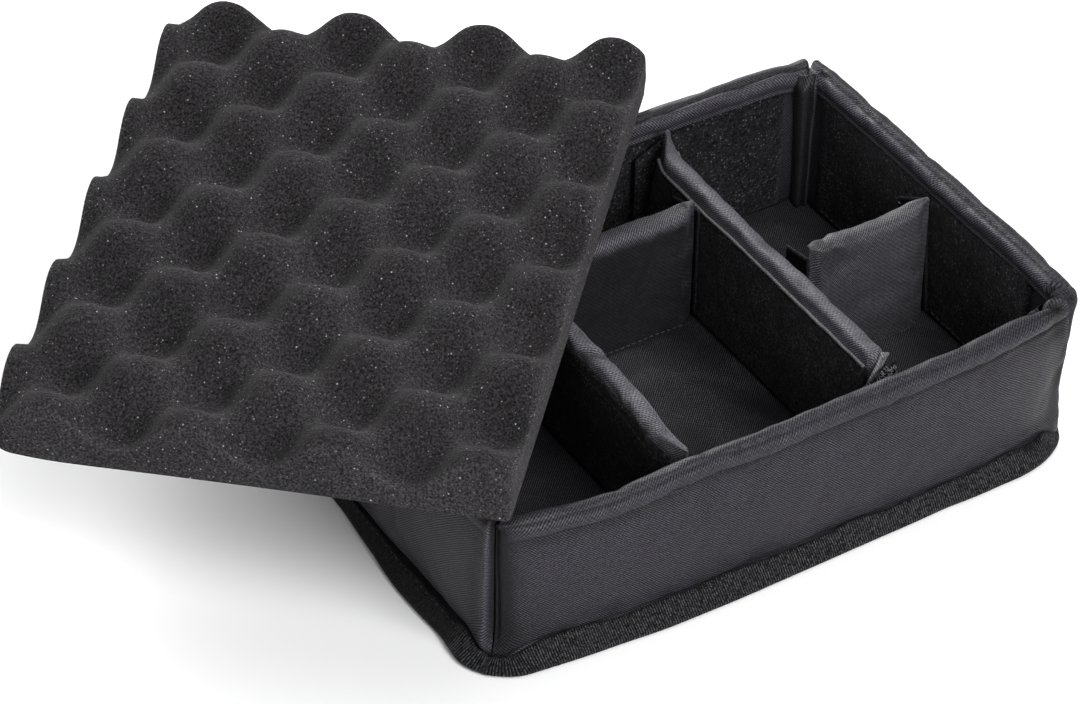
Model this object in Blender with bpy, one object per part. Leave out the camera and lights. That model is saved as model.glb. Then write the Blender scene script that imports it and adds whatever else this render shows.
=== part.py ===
# Padded divider insert for a small transport case, with a loose convoluted foam pad.
# X runs along the front wall from left to right, Y from front to rear, Z up.
# The origin is on the floor, at the middle of the tray. Lengths are in metres.

import math

import bmesh
import bpy
from mathutils import Vector

MM = 0.001

# ---- driving dimensions (mm) -------------------------------------------------
TRAY_LENGTH = 250.0          # outside of the left wall to outside of the right wall
TRAY_WIDTH = 171.0           # outside of the front wall to outside of the rear wall
RIM_HEIGHT = 70.4            # top of the walls at the corners
CORNER_RADIUS = 9.0          # upright edges, outside
FRONT_BOW = 8.5              # the front wall belly, outwards at its middle
REAR_BOW = 2.5
SIDE_BOW = 1.5
FRONT_SAG = 4.5              # the front rim dips at its middle
REAR_SAG = 1.2
SIDE_SAG = 1.0

GAP = 0.3                    # air between two pieces that touch
CLOTH = 0.6                  # nylon with its coating
WALL_T = 7.6                 # outer face to inner face of a wall sleeve
LOOP_T = 0.8                 # loop pile panel
CORE_T = WALL_T - 2 * (CLOTH + GAP)

BASE_COVER_T = 0.8
BASE_H = 7.1                 # floor of the compartments
WALL_FOOT = BASE_H + GAP

TAPE_LEG_T = 1.03            # thickness of one tape leg, measured upright
TAPE_H = 3.6                 # both legs and the slot, measured upright
TAPE_TIP_R = 1.4
TAPE_TIP_OUT = 6.7           # centre of the folded edge, outside the wall
TAPE_IN = 0.35
TAPE_Z_IN = 6.6              # centre line of the tape next to the wall
FLANGE_OUT = 5.6

LONG_X = {"right": 44.0, "left": -40.0}
LONG_T = 9.4
LONG_TOP = 66.0
LONG_Y0, LONG_Y1 = -78.0, 74.5
HEM_Z = 58.5

CROSS_T = 8.4
CROSS_TOP = 64.0
TAB_T = 1.4

PAD_U = (0.7314, -0.6820)      # along the pad's front edge, left to right
PAD_V = (-0.6820, -0.7314)     # from its rear edge to its front edge
PAD_FRONT_RIGHT = (-121.2, -91.4)
PAD_W = 185.0
PAD_D = 255.0
PAD_PITCH_U = 51.0
PAD_PITCH_V = 51.0
PAD_PHASE_U = 0.385
PAD_PHASE_V = -0.08
PAD_PEAK = 24.0
PAD_TROUGH = 7.8
PAD_SAMPLES = 9              # per pitch

N_SPAN = 14                  # sections along one wall
N_ARC = 2                    # sections in half a corner


# ---- helpers -----------------------------------------------------------------
for ob in list(bpy.data.objects):
    bpy.data.objects.remove(ob, do_unlink=True)


def material(name, rgb, rough, metallic=0.0):
    mat = bpy.data.materials.new(name)
    mat.use_nodes = True
    bsdf = mat.node_tree.nodes["Principled BSDF"]
    bsdf.inputs["Base Color"].default_value = (rgb[0], rgb[1], rgb[2], 1.0)
    bsdf.inputs["Roughness"].default_value = rough
    bsdf.inputs["Metallic"].default_value = metallic
    mat.diffuse_color = (rgb[0], rgb[1], rgb[2], 1.0)
    return mat


COLOURS = {
    "nylon": ((0.050, 0.049, 0.058), 0.48),
    "lining": ((0.030, 0.030, 0.034), 0.55),
    "loop": ((0.009, 0.009, 0.010), 0.95),
    "hook": ((0.016, 0.016, 0.018), 0.70),
    "tape": ((0.022, 0.022, 0.024), 0.75),
    "core": ((0.060, 0.060, 0.064), 0.90),
    "pad": ((0.030, 0.029, 0.031), 0.95),
}


def make(name, verts, faces, kind, origin=(0.0, 0.0, 0.0), smooth=40.0):
    """One closed mesh object. verts are in millimetres, in world axes."""
    mesh = bpy.data.meshes.new(name)
    org = Vector(origin)
    mesh.from_pydata([((Vector(v) - org) * MM)[:] for v in verts], [], faces)
    mesh.validate()
    bm = bmesh.new()
    bm.from_mesh(mesh)
    bmesh.ops.recalc_face_normals(bm, faces=bm.faces)
    if bm.calc_volume(signed=True) < 0:
        bmesh.ops.reverse_faces(bm, faces=bm.faces)
    bm.to_mesh(mesh)
    bm.free()
    mesh.shade_smooth()
    mesh.set_sharp_from_angle(angle=math.radians(smooth))
    rgb, rough = COLOURS[kind]
    mesh.materials.append(material(name + "_finish", rgb, rough))
    ob = bpy.data.objects.new(name, mesh)
    ob.location = org * MM
    bpy.context.scene.collection.objects.link(ob)
    return ob


def empty(name, at):
    ob = bpy.data.objects.new(name, None)
    ob.location = Vector(at) * MM
    ob.empty_display_size = 0.02
    bpy.context.scene.collection.objects.link(ob)
    return ob


def parent(ob, to):
    ob.parent = to
    ob.matrix_parent_inverse.identity()
    ob.location = ob.location - to.location


def prism(sections):
    """Closed body through equal rings of points; the two ends are capped."""
    n = len(sections[0])
    verts = [p for s in sections for p in s]
    faces = []
    for i in range(len(sections) - 1):
        a, b = i * n, (i + 1) * n
        for j in range(n):
            k = (j + 1) % n
            faces.append((a + j, a + k, b + k, b + j))
    faces.append(tuple(range(n - 1, -1, -1)))
    last = (len(sections) - 1) * n
    faces.append(tuple(last + j for j in range(n)))
    return verts, faces


def ring(sections):
    """Closed body whose last section joins the first."""
    n, m = len(sections[0]), len(sections)
    verts = [p for s in sections for p in s]
    faces = []
    for i in range(m):
        a, b = i * n, ((i + 1) % m) * n
        for j in range(n):
            k = (j + 1) % n
            faces.append((a + j, a + k, b + k, b + j))
    return verts, faces


def arc(cx, cz, r, a0, a1, n):
    return [(cx + r * math.cos(math.radians(a0 + (a1 - a0) * i / n)),
             cz + r * math.sin(math.radians(a0 + (a1 - a0) * i / n))) for i in range(n + 1)]


# ---- the tray's ring ---------------------------------------------------------
# A point on the ring is (wall, place along it, depth from its outer face, height).
HL, HW = TRAY_LENGTH / 2.0, TRAY_WIDTH / 2.0
WALLS = {
    # wall: half run, distance of its outer face, bow, sag, outward axis, run axis
    "front": (HL, HW, FRONT_BOW, FRONT_SAG, (0, -1), (1, 0)),
    "right": (HW, HL, SIDE_BOW, SIDE_SAG, (1, 0), (0, 1)),
    "rear": (HL, HW, REAR_BOW, REAR_SAG, (0, 1), (-1, 0)),
    "left": (HW, HL, SIDE_BOW, SIDE_SAG, (-1, 0), (0, -1)),
}


def swell(q):
    """1 at the middle of a wall, 0 at its corners, level for most of its run."""
    q = min(1.0, abs(q))
    return 1.0 - q ** 4


def wall_point(wall, run, t, z, at_corner=0.0, trim=0.0):
    """run: distance from the wall's middle (within its straight part).
    at_corner: 0 on the straight, up to 1 at the corner's 45 degree line.
    trim: moves the point back along the wall, which leaves air at the corner."""
    half, dist, bow, sag, out, along = WALLS[wall]
    r = CORNER_RADIUS
    if at_corner == 0.0:
        s, d = run, dist - t
    else:
        side = 1.0 if run > 0 else -1.0
        phi = math.radians(45.0) * at_corner
        s = side * (half - r + (r - t) * math.sin(phi) - trim * math.cos(phi))
        d = dist - r + (r - t) * math.cos(phi) + trim * math.sin(phi)
    q = s / half
    d += bow * swell(q)
    up = max(0.0, z - WALL_FOOT) / (RIM_HEIGHT - WALL_FOOT)
    zz = z - sag * swell(q) * up
    return (along[0] * s + out[0] * d, along[1] * s + out[1] * d, zz)


def wall_stations(wall, corner=True, stop=None, spans=N_SPAN):
    """Places along a wall as (run, at_corner, trim)."""
    half = WALLS[wall][0]
    straight = stop if stop is not None else half - CORNER_RADIUS
    st = [(-straight + 2 * straight * i / spans, 0.0, 0.0) for i in range(spans + 1)]
    if corner:
        head = [(-half, k / N_ARC, 0.16 if k == N_ARC else 0.0) for k in range(N_ARC, 0, -1)]
        tail = [(half, k / N_ARC, 0.16 if k == N_ARC else 0.0) for k in range(1, N_ARC + 1)]
        st = head + st + tail
    return st


def wall_body(name, wall, profile, kind, **kw):
    secs = []
    for run, c, trim in wall_stations(wall, **kw):
        secs.append([wall_point(wall, run, t, z, c, trim) for t, z in profile])
    return make(name, *prism(secs), kind)


def tape_centre(o):
    slope = (TAPE_Z_IN - TAPE_TIP_R) / (TAPE_TIP_OUT - TAPE_IN)
    return TAPE_Z_IN - slope * (o - TAPE_IN)


# wall sleeve: flange in the tape, up the outside, over the rim, down the inside
R_OUT = WALL_T / 2.0
R_IN = R_OUT - CLOTH
FL = 0.38
sleeve = [(-FLANGE_OUT, tape_centre(FLANGE_OUT) + FL), (0.0, tape_centre(0.0) + FL)]
sleeve += arc(R_OUT, RIM_HEIGHT - R_OUT, R_OUT, 180, 0, 6)
sleeve += [(WALL_T, WALL_FOOT), (WALL_T - CLOTH, WALL_FOOT)]
sleeve += arc(R_OUT, RIM_HEIGHT - R_OUT, R_IN, 0, 180, 6)
sleeve += [(CLOTH, tape_centre(-CLOTH) - FL), (-FLANGE_OUT, tape_centre(FLANGE_OUT) - FL)]

c0, c1 = CLOTH + GAP, WALL_T - CLOTH - GAP
rc = R_IN - GAP
core = [(c0, WALL_FOOT + 0.1)]
core += arc(R_OUT, RIM_HEIGHT - R_OUT, rc, 180, 0, 4)
core += [(c1, WALL_FOOT + 0.1)]

l0 = WALL_T + GAP
loop = [(l0, WALL_FOOT), (l0, RIM_HEIGHT - 6.0), (l0 + LOOP_T * 0.5, RIM_HEIGHT - 5.6),
        (l0 + LOOP_T, RIM_HEIGHT - 6.2), (l0 + LOOP_T, WALL_FOOT)]

for w in ("front", "right", "rear", "left"):
    half = WALLS[w][0]
    spans = N_SPAN if half > 100 else 10
    wall_body(w + "_wall_cover", w, sleeve, "nylon", spans=spans)
    wall_body(w + "_wall_foam", w, core, "core", corner=False, stop=half - CORNER_RADIUS,
              spans=spans)
    wall_body(w + "_loop_lining", w, loop, "loop", corner=False,
              stop=half - CORNER_RADIUS - 9.0, spans=spans)


def ring_sections(profile, spans_long=14, spans_short=10, arc_n=4):
    """Sections all the way round; profile points are (depth, height)."""
    secs = []
    for w in ("front", "right", "rear", "left"):
        half = WALLS[w][0]
        spans = spans_long if half > 100 else spans_short
        st = half - CORNER_RADIUS
        for i in range(spans + 1):
            run = -st + 2 * st * i / spans
            secs.append([wall_point(w, run, t, z) for t, z in profile])
        for k in range(1, arc_n // 2 + 1):
            secs.append([wall_point(w, half, t, z, 2.0 * k / arc_n) for t, z in profile])
        nxt = {"front": "right", "right": "rear", "rear": "left", "left": "front"}[w]
        for k in range(arc_n // 2 - 1, 0, -1):
            secs.append([wall_point(nxt, -WALLS[nxt][0], t, z, 2.0 * k / arc_n)
                         for t, z in profile])
    return secs


# binding tape: a folded band, its slot open towards the wall
top_in = TAPE_Z_IN + TAPE_H / 2
bot_in = TAPE_Z_IN - TAPE_H / 2
slope_deg = math.degrees(math.atan2(TAPE_Z_IN - TAPE_TIP_R, TAPE_TIP_OUT - TAPE_IN))
tape = [(TAPE_IN, top_in)]
tape += arc(TAPE_TIP_OUT, TAPE_TIP_R, TAPE_TIP_R, 90 - slope_deg, -90 - slope_deg, 6)
tape += [(TAPE_IN, bot_in), (TAPE_IN, bot_in + TAPE_LEG_T)]
slot_o = FLANGE_OUT + 0.45
half_slot = TAPE_H / 2 - TAPE_LEG_T
tape += [(slot_o, tape_centre(slot_o) - half_slot), (slot_o, tape_centre(slot_o) + half_slot),
         (TAPE_IN, top_in - TAPE_LEG_T)]
make("base_binding_tape", *ring(ring_sections([(-o, z) for o, z in tape])), "tape")


def plate(name, t, z0, z1, kind, wall_t=None, floor_t=None):
    """A sheet that fills the ring at depth t; with wall_t it is a pan."""
    if wall_t is None:
        secs = ring_sections([(t, z0), (t, z1)])
        n = len(secs)
        verts = [s[0] for s in secs] + [s[1] for s in secs]
        faces = [(i, (i + 1) % n, n + (i + 1) % n, n + i) for i in range(n)]
        faces.append(tuple(range(n - 1, -1, -1)))
        faces.append(tuple(range(n, 2 * n)))
    else:
        secs = ring_sections([(t, z0), (t, z1), (t + wall_t, z1), (t + wall_t, z0 + floor_t)])
        n = len(secs)
        verts = [secs[i][j] for j in range(4) for i in range(n)]
        faces = []
        for j in range(3):
            for i in range(n):
                k = (i + 1) % n
                faces.append((j * n + i, j * n + k, (j + 1) * n + k, (j + 1) * n + i))
        faces.append(tuple(range(n - 1, -1, -1)))
        faces.append(tuple(range(3 * n, 4 * n)))
    return make(name, verts, faces, kind, smooth=30.0)


plate("base_bottom_cover", CLOTH + GAP, 0.0, BASE_H, "lining", wall_t=CLOTH, floor_t=BASE_COVER_T)
IN_T = 2 * (CLOTH + GAP)
plate("base_foam", IN_T, BASE_COVER_T + GAP, BASE_H - 2 * GAP - CLOTH + 0.3, "core")
plate("floor_lining", IN_T, BASE_H - CLOTH, BASE_H, "lining")


# ---- dividers ----------------------------------------------------------------
def box_dome(half_t, foot, top, n=6):
    """Cross-section with a rounded top, as (across, height)."""
    pts = [(-half_t, foot)]
    pts += arc(0.0, top - half_t, half_t, 180, 0, n)
    pts += [(half_t, foot)]
    return pts


def along(axis, profile, a, b, across):
    """Sections of a profile at a and b along an axis ('X' or 'Y'), centred on across."""
    secs = []
    for s in (a, b):
        if axis == "Y":
            secs.append([(across + x, s, z) for x, z in profile])
        else:
            secs.append([(s, across + x, z) for x, z in profile])
    return secs


def divider_cover(name, axis, across, a, b, half_t, top, foot, kind="nylon"):
    """A sleeve closed at its ends and open below."""
    outer = box_dome(half_t, foot, top)
    inner = box_dome(half_t - CLOTH, foot, top - CLOTH)
    n = len(outer)
    so = along(axis, outer, a, b, across)
    si = along(axis, inner, a + CLOTH, b - CLOTH, across)
    verts = so[0] + so[1] + si[0] + si[1]
    O0, O1, I0, I1 = 0, n, 2 * n, 3 * n
    faces = []
    for j in range(n - 1):
        faces.append((O0 + j, O0 + j + 1, O1 + j + 1, O1 + j))
        faces.append((I0 + j, I1 + j, I1 + j + 1, I0 + j + 1))
    faces.append(tuple(O0 + j for j in range(n - 1, -1, -1)))
    faces.append(tuple(O1 + j for j in range(n)))
    faces.append(tuple(I0 + j for j in range(n)))
    faces.append(tuple(I1 + j for j in range(n - 1, -1, -1)))
    # the open foot: a frame between the outer and the inner outline
    faces.append((O0 + 0, O1 + 0, I1 + 0, I0 + 0))
    faces.append((O0 + n - 1, I0 + n - 1, I1 + n - 1, O1 + n - 1))
    faces.append((O0 + 0, I0 + 0, I0 + n - 1, O0 + n - 1))
    faces.append((O1 + 0, O1 + n - 1, I1 + n - 1, I1 + 0))
    return make(name, verts, faces, kind)


def slab(name, lo, hi, kind, bevel=0.35):
    """A thin plate with softened long edges."""
    bm = bmesh.new()
    bmesh.ops.create_cube(bm, size=1.0)
    for v in bm.verts:
        for i in range(3):
            v.co[i] = lo[i] if v.co[i] < 0 else hi[i]
    bmesh.ops.bevel(bm, geom=list(bm.edges), offset=bevel, segments=1, affect="EDGES")
    verts = [tuple(v.co) for v in bm.verts]
    faces = [tuple(v.index for v in f.verts) for f in bm.faces]
    bm.free()
    return make(name, verts, faces, kind, smooth=30.0)


def slanted_slab(name, a, b, z0, z1, thick, kind, bevel=0.35):
    """An upright plate between two points of the plan."""
    a, b = Vector((a[0], a[1], 0.0)), Vector((b[0], b[1], 0.0))
    run = (b - a).normalized()
    side = Vector((-run.y, run.x, 0.0)) * (thick / 2.0)
    bm = bmesh.new()
    bmesh.ops.create_cube(bm, size=1.0)
    for v in bm.verts:
        base = a if v.co.x < 0 else b
        base = base + (side if v.co.y > 0 else -side)
        v.co = Vector((base.x, base.y, z0 if v.co.z < 0 else z1))
    bmesh.ops.bevel(bm, geom=list(bm.edges), offset=bevel, segments=1, affect="EDGES")
    verts = [tuple(v.co) for v in bm.verts]
    faces = [tuple(v.index for v in f.verts) for f in bm.faces]
    bm.free()
    return make(name, verts, faces, kind, smooth=30.0)


def long_divider(side, front_tab, rear_tab):
    x = LONG_X[side]
    name = side + "_divider"
    hub = empty(name + "_axis", (x, 0.0, WALL_FOOT))
    foot = WALL_FOOT + 0.1
    cover_half = LONG_T / 2 - LOOP_T - GAP
    parts = [divider_cover(name + "_cover", "Y", x, LONG_Y0, LONG_Y1, cover_half, LONG_TOP, foot)]
    core_prof = box_dome(cover_half - CLOTH - GAP, foot, LONG_TOP - CLOTH - GAP, n=4)
    parts.append(make(name + "_foam", *prism(along("Y", core_prof, LONG_Y0 + CLOTH + GAP,
                                                   LONG_Y1 - CLOTH - GAP, x)), "core"))
    for sgn, word in ((-1, "left"), (1, "right")):
        x0 = x + sgn * (cover_half + GAP)
        x1 = x + sgn * (LONG_T / 2)
        parts.append(slab(name + "_" + word + "_loop_face",
                          (min(x0, x1), LONG_Y0 + 3.0, foot + 0.6),
                          (max(x0, x1), LONG_Y1 - 3.0, HEM_Z), "loop", bevel=0.25))
    for word, (a, b) in (("front", front_tab), ("rear", rear_tab)):
        parts.append(slanted_slab(name + "_" + word + "_hook_tab", a, b, 12.0, 60.0,
                                  TAB_T, "hook"))
    for p in parts:
        parent(p, hub)


# tabs: the middle of the plate at its left and right edge, in plan
TAB_F = LONG_Y0 - GAP - TAB_T / 2
TAB_R = LONG_Y1 + GAP + TAB_T / 2
long_divider("right", ((28.0, -84.0), (49.0, TAB_F - 0.1)), ((36.8, TAB_R), (51.5, TAB_R)))
long_divider("left", ((-52.0, TAB_F), (-30.0, TAB_F)), ((-52.0, TAB_R), (-30.0, TAB_R)))


def cross_divider(name, y, x0, x1, tab_left, tab_right, tab_top):
    hub = empty(name + "_axis", ((x0 + x1) / 2, y, WALL_FOOT))
    foot = WALL_FOOT + 0.1
    half = CROSS_T / 2
    parts = [divider_cover(name + "_cover", "X", y, x0, x1, half, CROSS_TOP, foot)]
    core_prof = box_dome(half - CLOTH - GAP, foot, CROSS_TOP - CLOTH - GAP, n=4)
    parts.append(make(name + "_foam", *prism(along("X", core_prof, x0 + CLOTH + GAP,
                                                   x1 - CLOTH - GAP, y)), "core"))
    for word, (ya, yb), xs in (("left", tab_left, x0 - GAP - TAB_T),
                               ("right", tab_right, x1 + GAP)):
        parts.append(slab(name + "_" + word + "_hook_tab", (xs, y + ya, 12.0),
                          (xs + TAB_T, y + yb, tab_top), "hook"))
    for p in parts:
        parent(p, hub)


# the left end of the right cross divider stands a little off the long divider
cross_divider("right_cross_divider", -8.0, 59.2, 114.0, (-4.0, 11.5), (-4.0, 21.5), 58.0)
cross_divider("rear_cross_divider", 35.7, -32.6, 36.6, (-4.0, 16.0), (-4.0, 16.0), 58.0)


# ---- foam pad ----------------------------------------------------------------
def pad_height(u, v):
    p = u / PAD_PITCH_U - PAD_PHASE_U
    q = v / PAD_PITCH_V - PAD_PHASE_V
    f = math.cos(2 * math.pi * p) * math.cos(2 * math.pi * q)
    return PAD_TROUGH + (PAD_PEAK - PAD_TROUGH) * 0.5 * (1.0 + f)


def foam_pad():
    nu = int(round(PAD_W / PAD_PITCH_U * PAD_SAMPLES))
    nv = int(round(PAD_D / PAD_PITCH_V * PAD_SAMPLES))
    ox = PAD_FRONT_RIGHT[0] - PAD_W * PAD_U[0] - PAD_D * PAD_V[0]
    oy = PAD_FRONT_RIGHT[1] - PAD_W * PAD_U[1] - PAD_D * PAD_V[1]
    z0 = RIM_HEIGHT + GAP
    inset = 0.0
    verts, faces = [], []
    for j in range(nv + 1):
        for i in range(nu + 1):
            u, v = PAD_W * i / nu, PAD_D * j / nv
            x = ox + u * PAD_U[0] + v * PAD_V[0]
            y = oy + u * PAD_U[1] + v * PAD_V[1]
            verts.append((x, y, z0 + pad_height(u, v)))
    idx = lambda i, j: j * (nu + 1) + i
    for j in range(nv):
        for i in range(nu):
            faces.append((idx(i, j), idx(i + 1, j), idx(i + 1, j + 1), idx(i, j + 1)))
    rim = [idx(i, 0) for i in range(nu)] + [idx(nu, j) for j in range(nv)]
    rim += [idx(i, nv) for i in range(nu, 0, -1)] + [idx(0, j) for j in range(nv, 0, -1)]
    base = len(verts)
    for k in rim:
        verts.append((verts[k][0], verts[k][1], z0))
    m = len(rim)
    for k in range(m):
        a, b = rim[k], rim[(k + 1) % m]
        faces.append((a, b, base + (k + 1) % m, base + k))
    faces.append(tuple(base + k for k in range(m)))
    cx = ox + 0.5 * (PAD_W * PAD_U[0] + PAD_D * PAD_V[0])
    cy = oy + 0.5 * (PAD_W * PAD_U[1] + PAD_D * PAD_V[1])
    return make("foam_pad", verts, faces, "pad", origin=(cx, cy, z0), smooth=50.0)


foam_pad()
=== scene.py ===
import math

import bpy
import numpy as np
from mathutils import Matrix, Vector


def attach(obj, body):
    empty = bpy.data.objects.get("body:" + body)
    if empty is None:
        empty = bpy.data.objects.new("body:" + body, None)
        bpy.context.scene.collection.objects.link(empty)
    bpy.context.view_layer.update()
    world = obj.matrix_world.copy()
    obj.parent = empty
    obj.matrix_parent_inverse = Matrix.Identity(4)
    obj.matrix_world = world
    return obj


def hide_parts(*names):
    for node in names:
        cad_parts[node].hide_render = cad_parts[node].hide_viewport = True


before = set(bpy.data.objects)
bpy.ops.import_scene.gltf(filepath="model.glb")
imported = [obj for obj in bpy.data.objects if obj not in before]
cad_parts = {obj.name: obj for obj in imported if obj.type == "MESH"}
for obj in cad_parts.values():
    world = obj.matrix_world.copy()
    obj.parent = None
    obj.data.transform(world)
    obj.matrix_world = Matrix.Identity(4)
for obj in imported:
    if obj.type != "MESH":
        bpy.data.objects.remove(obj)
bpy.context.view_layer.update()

MM = 0.001

# ---------------------------------------------------------------------------
# Sizes of the tray and of the pad, in millimetres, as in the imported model.
# ---------------------------------------------------------------------------
HL, HW = 125.0, 85.5
RIM = 70.4
FOOT = 7.4
R_CORNER = 9.0
WALLS = {
    # half run, distance of the outer face, bow, sag, outward axis, run axis
    "front": (HL, HW, 8.5, 4.5, (0.0, -1.0), (1.0, 0.0)),
    "right": (HW, HL, 1.8, 0.6, (1.0, 0.0), (0.0, 1.0)),
    "rear": (HL, HW, 2.5, 0.8, (0.0, 1.0), (-1.0, 0.0)),
    "left": (HW, HL, 1.5, 1.0, (-1.0, 0.0), (0.0, -1.0)),
}
WALL_T = 7.6
DOME = WALL_T / 2.0
LONG_X = {"right": 44.0, "left": -40.0}
LONG_Y0, LONG_Y1 = -78.0, 74.5
LONG_TOP = 66.0
CROSS_TOP = 64.0
PAD_W, PAD_D = 185.7, 256.5
PAD_ANGLE = math.radians(-43.0)
PAD_U = np.array([math.cos(PAD_ANGLE), math.sin(PAD_ANGLE)])
PAD_V = np.array([math.sin(PAD_ANGLE), -math.cos(PAD_ANGLE)])
PAD_FR = np.array([-121.2, -91.6])
PAD_BOTTOM = 70.7


# ---------------------------------------------------------------------------
# Small numeric tools
# ---------------------------------------------------------------------------
def smooth(e0, e1, x):
    t = np.clip((np.asarray(x, float) - e0) / (e1 - e0), 0.0, 1.0)
    return t * t * (3.0 - 2.0 * t)


def bell(x, w):
    return np.exp(-((np.asarray(x, float) / w) ** 2))


def _hash(ix, iy, seed):
    h = (ix.astype(np.int64) * 374761393 + iy.astype(np.int64) * 668265263 + seed * 974711) & 0xFFFFFFFF
    h = ((h ^ (h >> 13)) * 1274126177) & 0xFFFFFFFF
    h = (h ^ (h >> 16)) & 0xFFFFFFFF
    return h / float(0xFFFFFFFF)


def noise(x, y, seed=0):
    """Smooth value noise, from -1 to 1, one feature per unit."""
    x, y = np.broadcast_arrays(np.asarray(x, float), np.asarray(y, float))
    ix, iy = np.floor(x), np.floor(y)
    fx, fy = x - ix, y - iy
    fx, fy = fx ** 3 * (fx * (fx * 6 - 15) + 10), fy ** 3 * (fy * (fy * 6 - 15) + 10)
    ix, iy = ix.astype(np.int64) + 1000, iy.astype(np.int64) + 1000
    a, b = _hash(ix, iy, seed), _hash(ix + 1, iy, seed)
    c, d = _hash(ix, iy + 1, seed), _hash(ix + 1, iy + 1, seed)
    return 2.0 * ((a * (1 - fx) + b * fx) * (1 - fy) + (c * (1 - fx) + d * fx) * fy) - 1.0


def fbm(x, y, seed=0, octaves=3):
    out, amp, tot = 0.0, 1.0, 0.0
    for k in range(octaves):
        out = out + amp * noise(np.asarray(x) * 2 ** k, np.asarray(y) * 2 ** k, seed + 31 * k)
        tot += amp
        amp *= 0.5
    return out / tot


def table(x, pairs):
    """Smooth curve through (x, value) pairs."""
    xs = np.array([p[0] for p in pairs], float)
    ys = np.array([p[1] for p in pairs], float)
    x = np.clip(np.asarray(x, float), xs[0], xs[-1])
    i = np.clip(np.searchsorted(xs, x) - 1, 0, len(xs) - 2)
    m = np.gradient(ys, xs)
    h = xs[i + 1] - xs[i]
    t = (x - xs[i]) / h
    return ((2 * t ** 3 - 3 * t ** 2 + 1) * ys[i] + (t ** 3 - 2 * t ** 2 + t) * h * m[i]
            + (-2 * t ** 3 + 3 * t ** 2) * ys[i + 1] + (t ** 3 - t ** 2) * h * m[i + 1])


# ---------------------------------------------------------------------------
# Mesh building. Points are in millimetres. The point attribute "cloth" holds
# the place on the flat cloth in millimetres, "shade" painted shade and light, much of it
# following how deep a crease is: in the cloth finishes positive is darker (painted shade) and
# negative lighter (painted highlight), in the foam the other way round.
# ---------------------------------------------------------------------------
def make(name, points, faces, mat, cloth=None, shade=None, body="tray", auto=None):
    points = np.asarray(points, float).reshape(-1, 3)
    mesh = bpy.data.meshes.new(name)
    mesh.from_pydata((points * MM).tolist(), [], faces)
    mesh.validate(clean_customdata=False)
    mesh.update()
    if cloth is not None:
        at = mesh.attributes.new("cloth", "FLOAT_VECTOR", "POINT")
        c = np.zeros((len(points), 3), np.float32)
        c[:, :2] = np.asarray(cloth, float).reshape(-1, 2)
        at.data.foreach_set("vector", c.ravel())
    if shade is not None:
        at = mesh.attributes.new("shade", "FLOAT", "POINT")
        at.data.foreach_set("value", np.asarray(shade, np.float32).ravel())
    mesh.shade_smooth()
    if auto is not None:
        mesh.set_sharp_from_angle(angle=math.radians(auto))
    mesh.materials.append(mat)
    ob = bpy.data.objects.new(name, mesh)
    bpy.context.scene.collection.objects.link(ob)
    fix_outward(ob)
    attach(ob, body)
    return ob


def fix_outward(ob):
    """Turns the whole mesh round if its faces look inwards."""
    me = ob.data
    co = np.zeros(len(me.vertices) * 3)
    me.vertices.foreach_get("co", co)
    co = co.reshape(-1, 3)
    me.calc_loop_triangles()
    tri = np.zeros(len(me.loop_triangles) * 3, np.int64)
    me.loop_triangles.foreach_get("vertices", tri)
    tri = tri.reshape(-1, 3)
    a, b, c = co[tri[:, 0]], co[tri[:, 1]], co[tri[:, 2]]
    if float((a * np.cross(b, c)).sum()) < 0:
        me.flip_normals()


def loft_faces(n, m, ring=False, cap=True):
    """Faces of n sections of m points, each section a closed path. The ends are closed by
    joining point j to point m-1-j, so a section runs up one side and down the other."""
    faces = []
    for i in range(n if ring else n - 1):
        a, b = i * m, ((i + 1) % n) * m
        for j in range(m):
            k = (j + 1) % m
            faces.append((a + j, a + k, b + k, b + j))
    if cap and not ring:
        for base, flip in ((0, True), ((n - 1) * m, False)):
            for j in range(m // 2 - 1):
                q = (base + j, base + j + 1, base + m - 2 - j, base + m - 1 - j)
                if q[1] == q[2]:
                    q = (q[0], q[1], q[3])
                faces.append(q[::-1] if flip else q)
            if m % 2:
                j = m // 2 - 1
                q = (base + j, base + j + 1, base + j + 2)
                faces.append(q[::-1] if flip else q)
    return faces


def grid_normals(P, ring_u=False, ring_v=True):
    """Unit normals of a grid of points [section, path]."""
    du = (np.roll(P, -1, 0) - np.roll(P, 1, 0)) if ring_u else np.gradient(P, axis=0)
    dv = (np.roll(P, -1, 1) - np.roll(P, 1, 1)) if ring_v else np.gradient(P, axis=1)
    n = np.cross(du, dv)
    return n / np.maximum(np.linalg.norm(n, axis=2, keepdims=True), 1e-9)


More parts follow.
